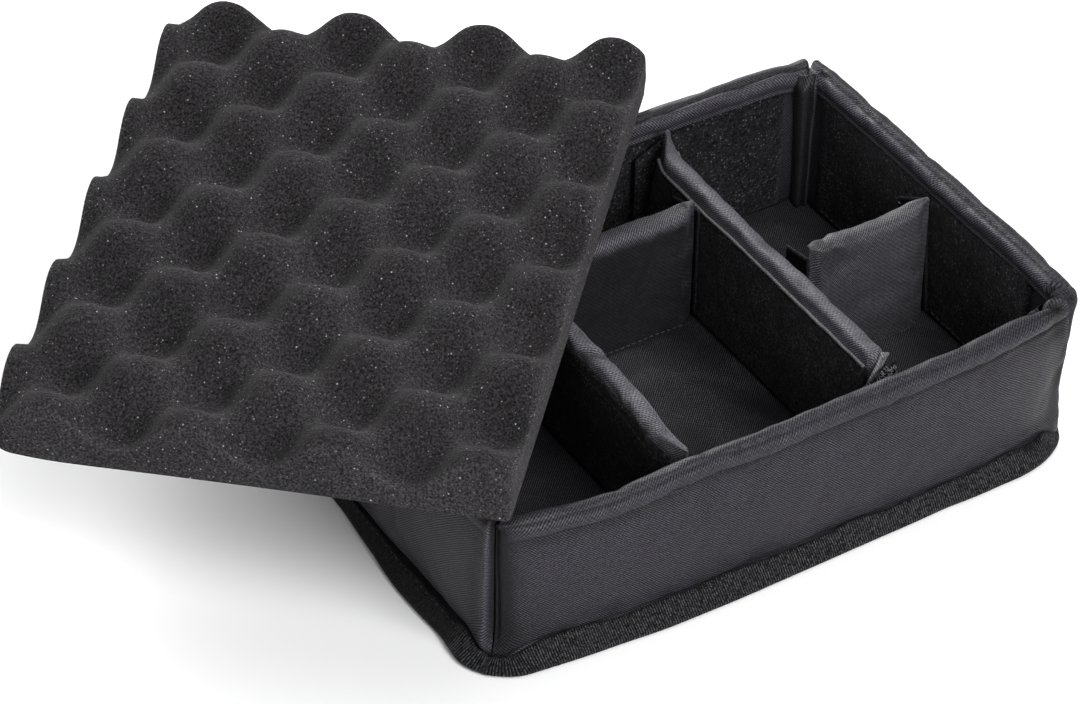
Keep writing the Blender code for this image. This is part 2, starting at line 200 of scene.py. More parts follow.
def tube(name, path, radius, mat, body, slot, sides=8, flat=1.0, closed=False):
    """A thin closed tube along a path, for a rolled hem or a thread."""
    P = np.asarray(path, float)
    d = np.gradient(P, axis=0)
    if closed:
        d = np.roll(P, -1, 0) - np.roll(P, 1, 0)
    d /= np.maximum(np.linalg.norm(d, axis=1, keepdims=True), 1e-9)
    up = np.array([0.0, 0.0, 1.0])
    side = np.cross(d, up)
    bad = np.linalg.norm(side, axis=1) < 1e-3
    side[bad] = np.cross(d[bad], np.array([1.0, 0.0, 0.0]))
    side /= np.linalg.norm(side, axis=1, keepdims=True)
    top = np.cross(side, d)
    r = np.broadcast_to(np.asarray(radius, float), (len(P),))
    ang = np.linspace(0, 2 * np.pi, sides, endpoint=False)
    S = (P[:, None] + side[:, None] * (np.cos(ang)[None, :, None] * r[:, None, None])
         + top[:, None] * (np.sin(ang)[None, :, None] * r[:, None, None] * flat))
    n = len(P)
    if closed:
        faces = loft_faces(n, sides, ring=True)
    else:
        faces = loft_faces(n, sides, cap=False)
        faces.append(tuple(range(sides - 1, -1, -1)))
        faces.append(tuple((n - 1) * sides + j for j in range(sides)))
    run = np.concatenate([[0], np.cumsum(np.linalg.norm(np.diff(P, axis=0), axis=1))])
    cloth = np.stack(np.broadcast_arrays(run[:, None], ang[None] * 1.2), -1)
    return S.reshape(-1, 3), faces, cloth.reshape(-1, 2)


def joined(name, parts, mat, body, shade=0.0, auto=None):
    """One object of several closed shells."""
    V, F, C, off = [], [], [], 0
    for verts, faces, cloth in parts:
        V.append(verts)
        C.append(cloth)
        F += [tuple(i + off for i in f) for f in faces]
        off += len(verts)
    V = np.concatenate(V)
    return make(name, V, F, mat, np.concatenate(C), np.full(len(V), shade), body, auto)


def settle(P, N, hold, slack=0.005, pressure=1.5, low=-0.5, high=1.2, gain=0.75, cell=2.6, frames=20):
    """Lets go of a sleeve's cloth: a copy of its grid P (mm) gets a little spare cloth and a light
    pressure inside, with hold (0 to 1) keeping its seams and ends. Returns the movement along N in mm,
    limited to low and high."""

    def pick(line):
        run = np.concatenate([[0], np.cumsum(np.linalg.norm(np.diff(line, axis=0), axis=1))])
        keep, last = [0], 0.0
        for k in range(1, len(run) - 1):
            if run[k] - last >= cell:
                keep.append(k)
                last = run[k]
        return np.array(keep + [len(run) - 1])
    i, j = pick(P[:, P.shape[1] // 2]), pick(P[P.shape[0] // 2])
    C, Nc, H = P[np.ix_(i, j)], N[np.ix_(i, j)], hold[np.ix_(i, j)]
    n, m = len(i), len(j)
    idx = np.arange(n * m).reshape(n, m)
    F = np.stack([idx[:-1, :-1], idx[1:, :-1], idx[1:, 1:], idx[:-1, 1:]], -1).reshape(-1, 4)
    way = np.cross(C[n // 2 + 1, m // 2] - C[n // 2, m // 2], C[n // 2, m // 2 + 1] - C[n // 2, m // 2])
    if way @ Nc[n // 2, m // 2] < 0:
        F = F[:, ::-1]
    mesh = bpy.data.meshes.new("settling")
    mesh.from_pydata((C.reshape(-1, 3) * MM).tolist(), [], F.tolist())
    mesh.update()
    ob = bpy.data.objects.new("settling", mesh)
    scene = bpy.context.scene
    scene.collection.objects.link(ob)
    group = ob.vertex_groups.new(name="hold")
    for k, w in enumerate(H.ravel()):
        if w > 0.01:
            group.add([k], float(min(w, 1.0)), "ADD")
    mod = ob.modifiers.new("cloth", "CLOTH")
    c = mod.settings
    c.quality = 5
    c.mass = 0.02
    c.tension_stiffness = c.compression_stiffness = 20
    c.shear_stiffness = 6
    c.bending_stiffness = 0.05
    c.use_pressure = True
    c.uniform_pressure_force = pressure
    c.shrink_min = -slack
    c.vertex_group_mass = "hold"
    c.effector_weights.gravity = 0
    mod.collision_settings.use_collision = False
    mod.point_cache.frame_start, mod.point_cache.frame_end = 1, frames
    for f in range(1, frames + 1):
        scene.frame_set(f)
    done = ob.evaluated_get(bpy.context.evaluated_depsgraph_get()).data
    co = np.empty(n * m * 3)
    done.vertices.foreach_get("co", co)
    bpy.data.objects.remove(ob)
    bpy.data.meshes.remove(mesh)
    scene.frame_set(1)
    d = ((co.reshape(n, m, 3) / MM - C) * Nc).sum(-1)
    d = np.where(d > 0, high * np.tanh(gain * d / high), low * np.tanh(gain * d / low))
    d = np.stack([np.interp(np.arange(P.shape[0]), i, d[:, k]) for k in range(m)], 1)
    return np.stack([np.interp(np.arange(P.shape[1]), j, d[k]) for k in range(P.shape[0])], 0)


def stitch_parts(path, normal, pitch=4.0, length=3.1, width=0.55, lift=0.05, start=0.0):
    """Small sunk thread loops along a path."""
    P, N = np.asarray(path, float), np.asarray(normal, float)
    run = np.concatenate([[0], np.cumsum(np.linalg.norm(np.diff(P, axis=0), axis=1))])
    parts = []
    s = start + pitch / 2
    while s < run[-1] - pitch / 2:
        q = np.linspace(s - length / 2, s + length / 2, 7)
        c = np.stack([np.interp(q, run, P[:, i]) for i in range(3)], 1)
        n = np.stack([np.interp(q, run, N[:, i]) for i in range(3)], 1)
        e = np.linspace(-1, 1, 7)
        c = c + n * (lift + 0.22 * (1 - e[:, None] ** 2) - 0.25 * (np.abs(e[:, None]) > 0.9))
        r = 0.5 * width * np.sqrt(np.clip(1 - e ** 2 * 0.88, 0.05, 1))
        parts.append(tube("", c, r, None, None, None, sides=6))
        s += pitch
    return parts


# ---------------------------------------------------------------------------
# Materials: all procedural, from nodes
# ---------------------------------------------------------------------------
class Finish:
    def __init__(self, name, rough=0.5, spec=0.5, sheen=0.0, sheen_rough=0.5, sheen_tint=(1, 1, 1)):
        self.mat = bpy.data.materials.new(name)
        self.mat.use_nodes = True
        self.nt = self.mat.node_tree
        self.bsdf = self.nt.nodes["Principled BSDF"]
        b = self.bsdf.inputs
        b["Roughness"].default_value = rough
        b["Specular IOR Level"].default_value = spec
        b["Sheen Weight"].default_value = sheen
        b["Sheen Roughness"].default_value = sheen_rough
        b["Sheen Tint"].default_value = (*sheen_tint, 1.0)

    def node(self, kind, **props):
        n = self.nt.nodes.new(kind)
        for k, v in props.items():
            setattr(n, k, v)
        return n

    def put(self, socket, value):
        if isinstance(value, bpy.types.NodeSocket):
            self.nt.links.new(value, socket)
        elif isinstance(value, tuple) and len(value) == 3 and socket.type == "RGBA":
            socket.default_value = (*value, 1.0)
        else:
            socket.default_value = value

    def math(self, op, a, b=0.0, c=0.0, clamp=False):
        n = self.node("ShaderNodeMath", operation=op, use_clamp=clamp)
        self.put(n.inputs[0], a)
        self.put(n.inputs[1], b)
        if op in ("MULTIPLY_ADD", "SMOOTH_MIN", "SMOOTH_MAX", "WRAP", "COMPARE"):
            self.put(n.inputs[2], c)
        return n.outputs[0]

    def range(self, x, a, b, c=0.0, d=1.0, kind="SMOOTHSTEP"):
        n = self.node("ShaderNodeMapRange", interpolation_type=kind, clamp=True)
        for i, v in enumerate((x, a, b, c, d)):
            self.put(n.inputs[i], v)
        return n.outputs[0]

    def attr(self, name):
        return self.node("ShaderNodeAttribute", attribute_name=name, attribute_type="GEOMETRY")

    def place(self):
        """Object coordinates in millimetres."""
        n = self.node("ShaderNodeTexCoord")
        m = self.node("ShaderNodeVectorMath", operation="SCALE")
        self.put(m.inputs[0], n.outputs["Object"])
        m.inputs["Scale"].default_value = 1000.0
        return m.outputs[0]

    def split(self, v):
        n = self.node("ShaderNodeSeparateXYZ")
        self.put(n.inputs[0], v)
        return n.outputs

    def noise(self, v, scale, detail=2.0, rough=0.5, distort=0.0):
        n = self.node("ShaderNodeTexNoise")
        self.put(n.inputs["Vector"], v)
        self.put(n.inputs["Scale"], scale)
        n.inputs["Detail"].default_value = detail
        n.inputs["Roughness"].default_value = rough
        n.inputs["Distortion"].default_value = distort
        return n.outputs["Fac"]

    def voronoi(self, v, scale, feature="F1", rand=1.0):
        n = self.node("ShaderNodeTexVoronoi", feature=feature)
        self.put(n.inputs["Vector"], v)
        self.put(n.inputs["Scale"], scale)
        n.inputs["Randomness"].default_value = rand
        return n

    def mix(self, fac, a, b):
        n = self.node("ShaderNodeMix", data_type="RGBA", clamp_factor=True)
        self.put(n.inputs[0], fac)
        self.put(n.inputs[6], a)
        self.put(n.inputs[7], b)
        return n.outputs[2]

    def scale_colour(self, colour, k):
        n = self.node("ShaderNodeVectorMath", operation="SCALE")
        self.put(n.inputs[0], colour)
        self.put(n.inputs["Scale"], k)
        return n.outputs[0]

    def rgb(self, colour):
        n = self.node("ShaderNodeRGB")
        n.outputs[0].default_value = (*colour, 1.0)
        return n.outputs[0]

    def bump(self, height, distance, strength=1.0, after=None):
        n = self.node("ShaderNodeBump")
        n.inputs["Strength"].default_value = strength
        n.inputs["Distance"].default_value = distance
        self.put(n.inputs["Height"], height)
        if after is not None:
            self.put(n.inputs["Normal"], after)
        return n.outputs[0]

    def done(self, colour, rough=None, normal=None):
        self.put(self.bsdf.inputs["Base Color"], colour)
        if rough is not None:
            self.put(self.bsdf.inputs["Roughness"], rough)
        if normal is not None:
            self.put(self.bsdf.inputs["Normal"], normal)
        return self.mat


def twill(name, colour, contrast=0.55, rough=0.45, turn=1.0, lines=0.86, sheen=0.12, spec=0.5,
          painted_light_gain=0.35):
    """Satin nylon twill: diagonal ribs in cloth millimetres, broken by the crossing yarn."""
    f = Finish(name, rough, spec, sheen, 0.35)
    uv = f.split(f.attr("cloth").outputs["Vector"])
    place = f.place()
    wob = f.noise(place, 0.11, 2.0)
    base = f.math("ADD", uv[0], f.math("MULTIPLY", uv[1], turn))
    phase = f.math("MULTIPLY", f.math("ADD", base, f.math("MULTIPLY", wob, 1.4)), lines)
    rib = f.range(f.math("SINE", f.math("MULTIPLY", phase, 2 * math.pi)), -0.6, 0.6, -1.0, 1.0, "LINEAR")
    cross = f.math("SUBTRACT", uv[0], f.math("MULTIPLY", uv[1], turn))
    knot = f.math("SINE", f.math("MULTIPLY", cross, 2 * math.pi * lines * 0.62))
    uneven = f.noise(place, 0.75, 2.0, 0.6)
    rib = f.math("MULTIPLY", rib, f.range(uneven, 0.32, 0.68, 0.35, 1.25, "LINEAR"))
    weave = f.math("ADD", f.math("MULTIPLY", rib, 0.46), f.math("MULTIPLY", knot, 0.14))
    fine = f.noise(place, 1.35, 3.0, 0.65)
    broad = f.noise(place, 0.035, 3.0, 0.55)
    k = f.math("MAXIMUM", f.math("MULTIPLY_ADD", weave, contrast * 3.6, 1.0), 0.08)
    k = f.math("MULTIPLY", k, f.range(fine, 0.34, 0.66, 0.55, 1.5, "LINEAR"))
    k = f.math("MULTIPLY", k, f.range(broad, 0.3, 0.7, 0.9, 1.12, "LINEAR"))
    # painted light: positive "shade" darkens the cloth as painted shade, negative "shade" lightens it as a painted
    # highlight, by up to the given gain
    shade = f.attr("shade").outputs["Fac"]
    k = f.math("MULTIPLY", k, f.range(shade, 0.0, 1.0, 1.0, 0.35, "LINEAR"))
    k = f.math("MULTIPLY", k, f.range(shade, -1.0, 0.0, 1.0 + painted_light_gain, 1.0, "LINEAR"))
    col = f.scale_colour(f.rgb(colour), k)
    r = f.math("MULTIPLY_ADD", weave, -0.14, rough)
    r = f.math("ADD", r, f.range(broad, 0.3, 0.7, -0.05, 0.07, "LINEAR"))
    h = f.math("ADD", weave, f.math("MULTIPLY", fine, 0.5))
    nrm = f.bump(h, 0.00010, 0.55)
    return f.done(col, r, nrm)


def foam_finish(name, colour, painted_glint=0.55, cut=False):
    """Open-cell foam: fine pores, painted glints on scattered cell walls, a soft grazing bloom."""
    f = Finish(name, 0.95, 0.10, 0.03, 0.25)
    f.bsdf.inputs["Diffuse Roughness"].default_value = 1.0
    v = f.place()
    pore = f.noise(v, 1.15, 3.0, 0.72)
    cell = f.voronoi(v, 0.95)
    dark = f.range(cell.outputs["Distance"], 0.10, 0.62, 0.45, 1.35, "LINEAR")
    k = f.math("MULTIPLY", f.range(pore, 0.36, 0.64, 0.30, 1.80, "LINEAR"), dark)
    broad = f.noise(v, 0.03, 2.0)
    k = f.math("MULTIPLY", k, f.range(broad, 0.3, 0.7, 0.9, 1.1, "LINEAR"))
    # painted light and shade: positive "shade" lightens the foam, negative darkens it
    shade = f.attr("shade").outputs["Fac"]
    k = f.math("MULTIPLY", k, f.range(shade, -1.0, 1.0, 0.55, 1.9, "LINEAR"))
    col = f.scale_colour(f.rgb(colour), k)
    # painted glints: scattered cells turned light grey in the colour
    big = f.voronoi(v, 0.30)
    hit = f.range(big.outputs["Distance"], 0.04, 0.13, 1.0, 0.0)
    lucky = f.split(big.outputs["Color"])
    hit = f.math("MULTIPLY", hit, f.range(lucky[0], 0.25, 0.8, 0.0, 1.0, "LINEAR"))
    small = f.voronoi(v, 0.58)
    tiny = f.range(small.outputs["Distance"], 0.05, 0.19, 1.0, 0.0)
    tiny = f.math("MULTIPLY", tiny, f.range(f.split(small.outputs["Color"])[1], 0.25, 1.0, 0.0, 0.62, "LINEAR"))
    glint = f.math("MULTIPLY", f.math("MAXIMUM", hit, tiny), painted_glint, clamp=True)
    col = f.mix(glint, col, (0.55, 0.55, 0.57))
    h = f.math("ADD", pore, f.math("MULTIPLY", cell.outputs["Distance"], 0.7))
    nrm = f.bump(h, 0.0006, 0.55 if not cut else 0.35)
    r = f.range(glint, 0.0, 1.0, 0.95, 0.4, "LINEAR")
    return f.done(col, r, nrm)


def velour(name, colour, fuzz=0.16):
    """Brushed loop pile: black ground, stray lighter loops."""
    f = Finish(name, 0.9, 0.12, 0.05, 0.4)
    v = f.place()
    curl = f.voronoi(v, 0.78)
    warp = f.noise(v, 0.60, 4.0, 0.78, 1.2)
    k = f.range(warp, 0.42, 0.62, 0.03, 4.0, "LINEAR")
    nap = f.noise(v, 0.12, 2.0)
    k = f.math("MULTIPLY", k, f.range(nap, 0.3, 0.7, 0.6, 1.4, "LINEAR"))
    # positive "shade" darkens the pile: painted shade
    shade = f.attr("shade").outputs["Fac"]
    k = f.math("MULTIPLY", k, f.range(shade, 0.0, 1.0, 1.0, 0.4, "LINEAR"))
    col = f.scale_colour(f.rgb(colour), k)
    strand = f.range(curl.outputs["Distance"], 0.10, 0.40, 1.0, 0.0)
    strand = f.math("MULTIPLY", strand, f.range(f.split(curl.outputs["Color"])[0], 0.3, 1.0, 0.0, fuzz * 1.6, "LINEAR"))
    col = f.mix(f.math("MULTIPLY", strand, f.range(nap, 0.35, 0.65, 0.35, 1.2, "LINEAR")), col, (0.20, 0.20, 0.225))
    h = f.math("ADD", warp, f.math("MULTIPLY", curl.outputs["Distance"], 0.6))
    nrm = f.bump(h, 0.0008, 0.8)
    r = f.range(warp, 0.3, 0.7, 0.98, 0.72, "LINEAR")
    return f.done(col, r, nrm)


def grosgrain(name, colour):
    """Ribbed binding tape, the ribs across its run."""
    f = Finish(name, 0.8, 0.1, 0.02, 0.5)
    uv = f.split(f.attr("cloth").outputs["Vector"])
    v = f.place()
    wob = f.noise(v, 0.35, 2.0)
    rib = f.math("SINE", f.math("MULTIPLY", f.math("ADD", uv[0], f.math("MULTIPLY", wob, 0.35)), 2 * math.pi * 1.0))
    pick = f.math("SINE", f.math("MULTIPLY", uv[1], 2 * math.pi * 1.7))
    fine = f.noise(v, 1.9, 3.0, 0.7)
    rib = f.range(rib, -0.75, 0.75, -1.0, 1.0, "LINEAR")
    k = f.math("MULTIPLY_ADD", rib, 0.92, 1.0)
    k = f.math("MULTIPLY", k, f.math("MULTIPLY_ADD", pick, 0.4, 1.0))
    loose = f.noise(v, 0.95, 3.0, 0.7)
    k = f.math("MULTIPLY", k, f.range(loose, 0.38, 0.62, 0.1, 2.2, "LINEAR"))
    k = f.math("MULTIPLY", k, f.range(fine, 0.34, 0.68, 0.6, 1.5, "LINEAR"))
    # positive "shade" darkens the tape: painted shade
    shade = f.attr("shade").outputs["Fac"]
    k = f.math("MULTIPLY", k, f.range(shade, 0.0, 1.0, 1.0, 0.3, "LINEAR"))
    col = f.scale_colour(f.rgb(colour), k)
    h = f.math("ADD", f.math("MULTIPLY", rib, 0.5), f.math("MULTIPLY", pick, 0.15))
    nrm = f.bump(f.math("ADD", h, f.math("MULTIPLY", fine, 0.3)), 0.00022, 0.8)
    r = f.math("MULTIPLY_ADD", rib, -0.1, 0.72)
    return f.done(col, r, nrm)


def hook_finish(name, colour):
    """Moulded hook tape: rows of tiny hooks."""
    f = Finish(name, 0.85, 0.08, 0.0)
    uv = f.split(f.attr("cloth").outputs["Vector"])
    v = f.place()
    a = f.math("SINE", f.math("MULTIPLY", uv[0], 2 * math.pi / 1.25))
    b = f.math("SINE", f.math("MULTIPLY", uv[1], 2 * math.pi / 1.6))
    dots = f.range(f.math("MULTIPLY", a, b), 0.1, 0.8, 0.0, 1.0)
    jitter = f.noise(v, 0.8, 3.0, 0.7)
    k = f.math("ADD", f.range(jitter, 0.36, 0.64, 0.15, 1.6, "LINEAR"), f.math("MULTIPLY", dots, 1.2))
    shade = f.attr("shade").outputs["Fac"]
    # negative "shade" lightens the tape up to sixteen times as a painted highlight; positive darkens it as painted
    # shade
    k = f.math("MULTIPLY", k, f.range(shade, 0.0, 1.0, 1.0, 0.35, "LINEAR"))
    k = f.math("MULTIPLY", k, f.range(shade, -1.0, 0.0, 16.0, 1.0, "LINEAR"))
    col = f.scale_colour(f.rgb(colour), k)
    nrm = f.bump(f.math("ADD", dots, f.math("MULTIPLY", jitter, 0.4)), 0.0006, 0.8)
    r = f.range(dots, 0.0, 1.0, 0.9, 0.65, "LINEAR")
    return f.done(col, r, nrm)


def thread_finish(name, colour):
    f = Finish(name, 0.6, 0.4, 0.1)
    uv = f.split(f.attr("cloth").outputs["Vector"])
    v = f.place()
    ply = f.math("SINE", f.math("MULTIPLY", f.math("ADD", uv[0], uv[1]), 2 * math.pi * 1.6))
    grain = f.noise(v, 2.5, 2.0, 0.6)
    k = f.math("MULTIPLY_ADD", ply, 0.3, 1.0)
    k = f.math("MULTIPLY", k, f.range(grain, 0.3, 0.7, 0.7, 1.3, "LINEAR"))
    col = f.scale_colour(f.rgb(colour), k)
    nrm = f.bump(ply, 0.0001, 0.6)
    return f.done(col, f.math("MULTIPLY_ADD", ply, -0.08, 0.6), nrm)


def board_finish(name, colour):
    """Closed-cell foam board inside the walls and dividers."""
    f = Finish(name, 0.9, 0.2, 0.05)
    v = f.place()
    cell = f.voronoi(v, 1.4)
    n = f.noise(v, 0.25, 3.0, 0.6)
    k = f.math("MULTIPLY", f.range(cell.outputs["Distance"], 0.0, 0.6, 0.75, 1.15, "LINEAR"),
               f.range(n, 0.3, 0.7, 0.85, 1.15, "LINEAR"))
    col = f.scale_colour(f.rgb(colour), k)
    nrm = f.bump(cell.outputs["Distance"], 0.0003, 0.5)
    return f.done(col, f.range(n, 0.3, 0.7, 0.82, 0.95, "LINEAR"), nrm)


NYLON = twill("nylon_outside", (0.0208, 0.0198, 0.0244), 0.56, 0.46, sheen=0.02, spec=0.14, painted_light_gain=0.9)
# the next four are copies of the walls' nylon with painted light: the right divider, the right cross divider and the
# left divider lighter as if lit, the rear cross divider darker as painted shade under the pad, its top lightened by a
# strong painted highlight
NYLON_TOP_PAINTED_LIGHT = twill("nylon_right_divider_painted_light", (0.0560, 0.0540, 0.0630), 0.50, 0.52, sheen=0.03, spec=0.22, painted_light_gain=0.6)
NYLON_R_PAINTED_LIGHT = twill("nylon_cross_right_painted_light", (0.0385, 0.0372, 0.0432), 0.72, 0.5, sheen=0.03, spec=0.22, painted_light_gain=0.5)
NYLON_B_PAINTED_SHADE = twill("nylon_cross_rear_painted_shade", (0.0100, 0.0097, 0.0115), 0.70, 0.5, sheen=0.03, spec=0.20, painted_light_gain=3.4)
NYLON_L_PAINTED_LIGHT = twill("nylon_left_divider_painted_light", (0.0760, 0.0735, 0.0850), 0.55, 0.52, sheen=0.03, spec=0.25, painted_light_gain=0.6)
LINING = twill("nylon_floor", (0.0238, 0.0230, 0.0262), 0.74, 0.5, turn=-1.0, sheen=0.02, spec=0.20)
UNDER = twill("nylon_underside", (0.0100, 0.0096, 0.0115), 0.4, 0.55)
LOOP = velour("loop_pile", (0.0048, 0.0048, 0.0058), 0.40)
HOOK = hook_finish("hook_tape", (0.0020, 0.0020, 0.0025))
CURL = thread_finish("hook_nylon", (0.1500, 0.1500, 0.1580))
TAPE = grosgrain("binding_tape", (0.0135, 0.0135, 0.0148))
FOAM = foam_finish("pad_foam", (0.0200, 0.0188, 0.0200), 0.75)
THREAD = thread_finish("thread_dark", (0.0060, 0.0060, 0.0065))
THREAD_LIGHT = thread_finish("thread_grey", (0.0350, 0.0340, 0.0370))
# the same nylon made far lighter for the folded hems, welts and turned edge: a painted highlight
HEM = twill("nylon_hem_painted_highlight", (0.0900, 0.0880, 0.0960), 0.30, 0.5, sheen=0.03, spec=0.25)
BOARD = board_finish("board_foam", (0.030, 0.030, 0.031))


# ---------------------------------------------------------------------------
# The foam pad
# ---------------------------------------------------------------------------
def pad_height(u, v):
    """Height of the convoluted face over the flat bottom. u from the left edge, v from the rear."""
    lat = np.cos(2 * np.pi * (u / 51.2 - 0.387)) * np.cos(2 * np.pi * (v / 51.2 + 0.083))
    lat = lat * (1.2 - 0.2 * lat * lat)
    s = 0.5 + 0.5 * lat
    h = 7.8 + (23.85 - 7.8) * s
    h = h + 0.45 * fbm(u / 34.0, v / 34.0, 5, 2) + 0.22 * noise(u / 6.0, v / 6.0, 9)
    return h


def pad_droop(u, v):
    a, b = 1 - u / PAD_W, 1 - v / PAD_D
    return 0.78 - 0.68 * a + 0.72 * b - 4.12 * a * b - 3.43 * a * a + 0.09 * b * b


def pad_outline(n_u, n_v, corner):
    """Grid over the pad's plan with rounded corners (radius for each of FL, FR, BR, BL)."""
    u = np.linspace(0, 1, n_u)[:, None] * np.ones((1, n_v))
    v = np.ones((n_u, 1)) * np.linspace(0, 1, n_v)[None, :]
    U, V = u * PAD_W, v * PAD_D
    for (cu, cv), r in corner.items():
        du = np.abs(U - cu * PAD_W)
        dv = np.abs(V - cv * PAD_D)
        m = (du < r) & (dv < r)
        a, b = 1 - du / r, 1 - dv / r            # 1 at the corner's edges
        big = np.maximum(a, b)
        length = np.sqrt(a * a + b * b)
        k = np.where(length > 1e-9, big / np.maximum(length, 1e-9), 1.0)
        a2, b2 = a * k, b * k
        nu = (1 - a2) * r
        nv = (1 - b2) * r
        U = np.where(m, np.where(cu > 0.5, PAD_W - nu, nu), U)
        V = np.where(m, np.where(cv > 0.5, PAD_D - nv, nv), V)
    return U, V


def build_pad():
    step = 1.5
    n_u, n_v = int(PAD_W / step) + 1, int(PAD_D / step) + 1
    U, V = pad_outline(n_u, n_v, {(0, 1): 9.0, (1, 1): 2.5, (1, 0): 3.0, (0, 0): 2.0})
    edge = np.minimum(np.minimum(U, PAD_W - U), np.minimum(V, PAD_D - V))
    H = pad_height(U, V)
    # the cut rim is broken slightly, and the loose front-left corner is pinched thin
    soft = 0.5 * bell(edge, 0.9)
    corner = np.exp(-((U / 16.0) ** 2 + ((PAD_D - V) / 16.0) ** 2))
    H = H - soft
    lift = 2.2 * corner
    bottom = PAD_BOTTOM + pad_droop(U, V)
    top = bottom + H
    bottom = bottom + lift
    origin = PAD_FR - PAD_W * PAD_U - PAD_D * PAD_V
    lean = 0.0
    XY = origin[None, None] + U[..., None] * PAD_U + V[..., None] * PAD_V
    top_pts = np.concatenate([XY, top[..., None]], 2)
    bot_pts = np.concatenate([XY, bottom[..., None]], 2)
    idx = np.arange(n_u * n_v).reshape(n_u, n_v)
    ring = ([(i, 0) for i in range(n_u)] + [(n_u - 1, j) for j in range(1, n_v)]
            + [(i, n_v - 1) for i in range(n_u - 2, -1, -1)] + [(0, j) for j in range(n_v - 2, 0, -1)])
    ring_t = np.array([top_pts[i, j] for i, j in ring])
    ring_b = np.array([bot_pts[i, j] for i, j in ring])
    nr, rows = len(ring), 8
    # outward direction of the rim in plan
    tang = np.roll(ring_t, -1, 0)[:, :2] - np.roll(ring_t, 1, 0)[:, :2]
    tang /= np.maximum(np.linalg.norm(tang, axis=1, keepdims=True), 1e-9)
    out = np.stack([tang[:, 1], -tang[:, 0]], 1)
    centre = ring_t[:, :2].mean(0)
    if ((ring_t[:, :2] - centre) * out).sum() < 0:
        out = -out
    verts = [top_pts.reshape(-1, 3), bot_pts.reshape(-1, 3)]
    # painted light and shade: valleys and saddles a touch lighter than the humps, a painted highlight along the cut rim
    # and painted shade just inside it
    s_top = np.clip((H - 15.0) / 9.0, -1, 1).reshape(-1) * -0.04 - 0.22
    s_top = s_top + (0.75 * bell(edge, 1.3) - 0.22 * bell(edge - 7.0, 5.0)).reshape(-1)
    shade = [s_top, np.zeros(n_u * n_v)]
    side = []
    run = np.concatenate([[0], np.cumsum(np.linalg.norm(np.diff(ring_t[:, :2], axis=0), axis=1))])
    for r in range(1, rows):
        w = r / rows
        p = ring_t * (1 - w) + ring_b * w
        d = 0.35 * np.sin(np.pi * w) + 0.18 * noise(run / 5.0, np.full(nr, w * 4.0), 77)
        p[:, :2] += out * d[:, None]
        side.append(p)
        # painted highlight along the top of the cut side
        shade.append(np.full(nr, 0.02 + 0.5 * math.exp(-(w / 0.12) ** 2)))
    verts.append(np.concatenate(side))
    base_b, base_s = n_u * n_v, 2 * n_u * n_v
    faces = []
    for i in range(n_u - 1):
        for j in range(n_v - 1):
            q = (idx[i, j], idx[i + 1, j], idx[i + 1, j + 1], idx[i, j + 1])
            faces.append(tuple(int(x) for x in q))
            faces.append(tuple(int(x) + base_b for x in q[::-1]))

    def ring_index(r, k):
        i, j = ring[k % nr]
        if r == 0:
            return int(idx[i, j])
        if r == rows:
            return int(idx[i, j]) + base_b
        return base_s + (r - 1) * nr + (k % nr)

    for r in range(rows):
        for k in range(nr):
            faces.append((ring_index(r, k), ring_index(r + 1, k), ring_index(r + 1, k + 1), ring_index(r, k + 1)))
    pts = np.concatenate(verts)
    ob = make("convoluted_foam_pad", pts, faces, FOAM, pts[:, :2], np.concatenate(shade),
              "foam_pad", auto=50)
    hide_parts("foam_pad")
    return ob


# ---------------------------------------------------------------------------
# The tray's walls
# ---------------------------------------------------------------------------
def swell(q):
    return 1.0 - np.minimum(1.0, np.abs(q)) ** 4


# corner radius at the foot and at the rim, for each end of each wall (end of the run, start of the run)
CORNERS = {"A": (9.0, 5.5), "B": (6.5, 1.6), "C": (9.0, 5.0), "D": (9.0, 5.5)}
ENDS = {"front": ("B", "A"), "right": ("C", "B"), "rear": ("D", "C"), "left": ("A", "D")}


def wall_xyz(wall, a, t, z, extra_bow=0.0, trim=0.0):
    """a: way along the outer face from the wall's middle; past the straight it goes round the corner."""
    half, dist, bow, sag, out, along = WALLS[wall]
    a, t, z = np.broadcast_arrays(np.asarray(a, float), np.asarray(t, float), np.asarray(z, float))
    r = R_CORNER
    side = np.where(a < 0, -1.0, 1.0)
    k = smooth(12.0, 68.0, z)
    pos, neg = (CORNERS[c] for c in ENDS[wall])
    R = np.where(a < 0, neg[0] + (neg[1] - neg[0]) * k, pos[0] + (pos[1] - pos[0]) * k)
    R = np.maximum(R, t + 0.6)
    e = np.maximum(0.0, np.abs(a) - (half - r))
    phi = np.minimum(e / r, math.pi / 4)
    flat = np.minimum(np.abs(a), half - r)
    # the straight part gives or takes the difference of the radii over its last 30 mm
    flat = flat + (r - R) * smooth(half - r - 30.0, half - r, flat)
    s = side * np.where(e > 0, half - R + (R - t) * np.sin(phi) - trim * np.cos(phi) * (e > 0), flat)
    d = np.where(e > 0, dist - R + (R - t) * np.cos(phi) + trim * np.sin(phi), dist - t)
    w = swell(s / half)
    d = d + bow * w + extra_bow
    up = np.maximum(0.0, z - FOOT) / (RIM - FOOT)
    zz = z - sag * w * up
    return np.stack([along[0] * s + out[0] * d, along[1] * s + out[1] * d, zz], -1)


def wall_run(wall):
    half = WALLS[wall][0]
    return half - R_CORNER + R_CORNER * math.pi / 4


V_DOME0 = 59.6
V_DOME1 = V_DOME0 + math.pi * DOME
V_END = V_DOME1 + (RIM - DOME - FOOT)


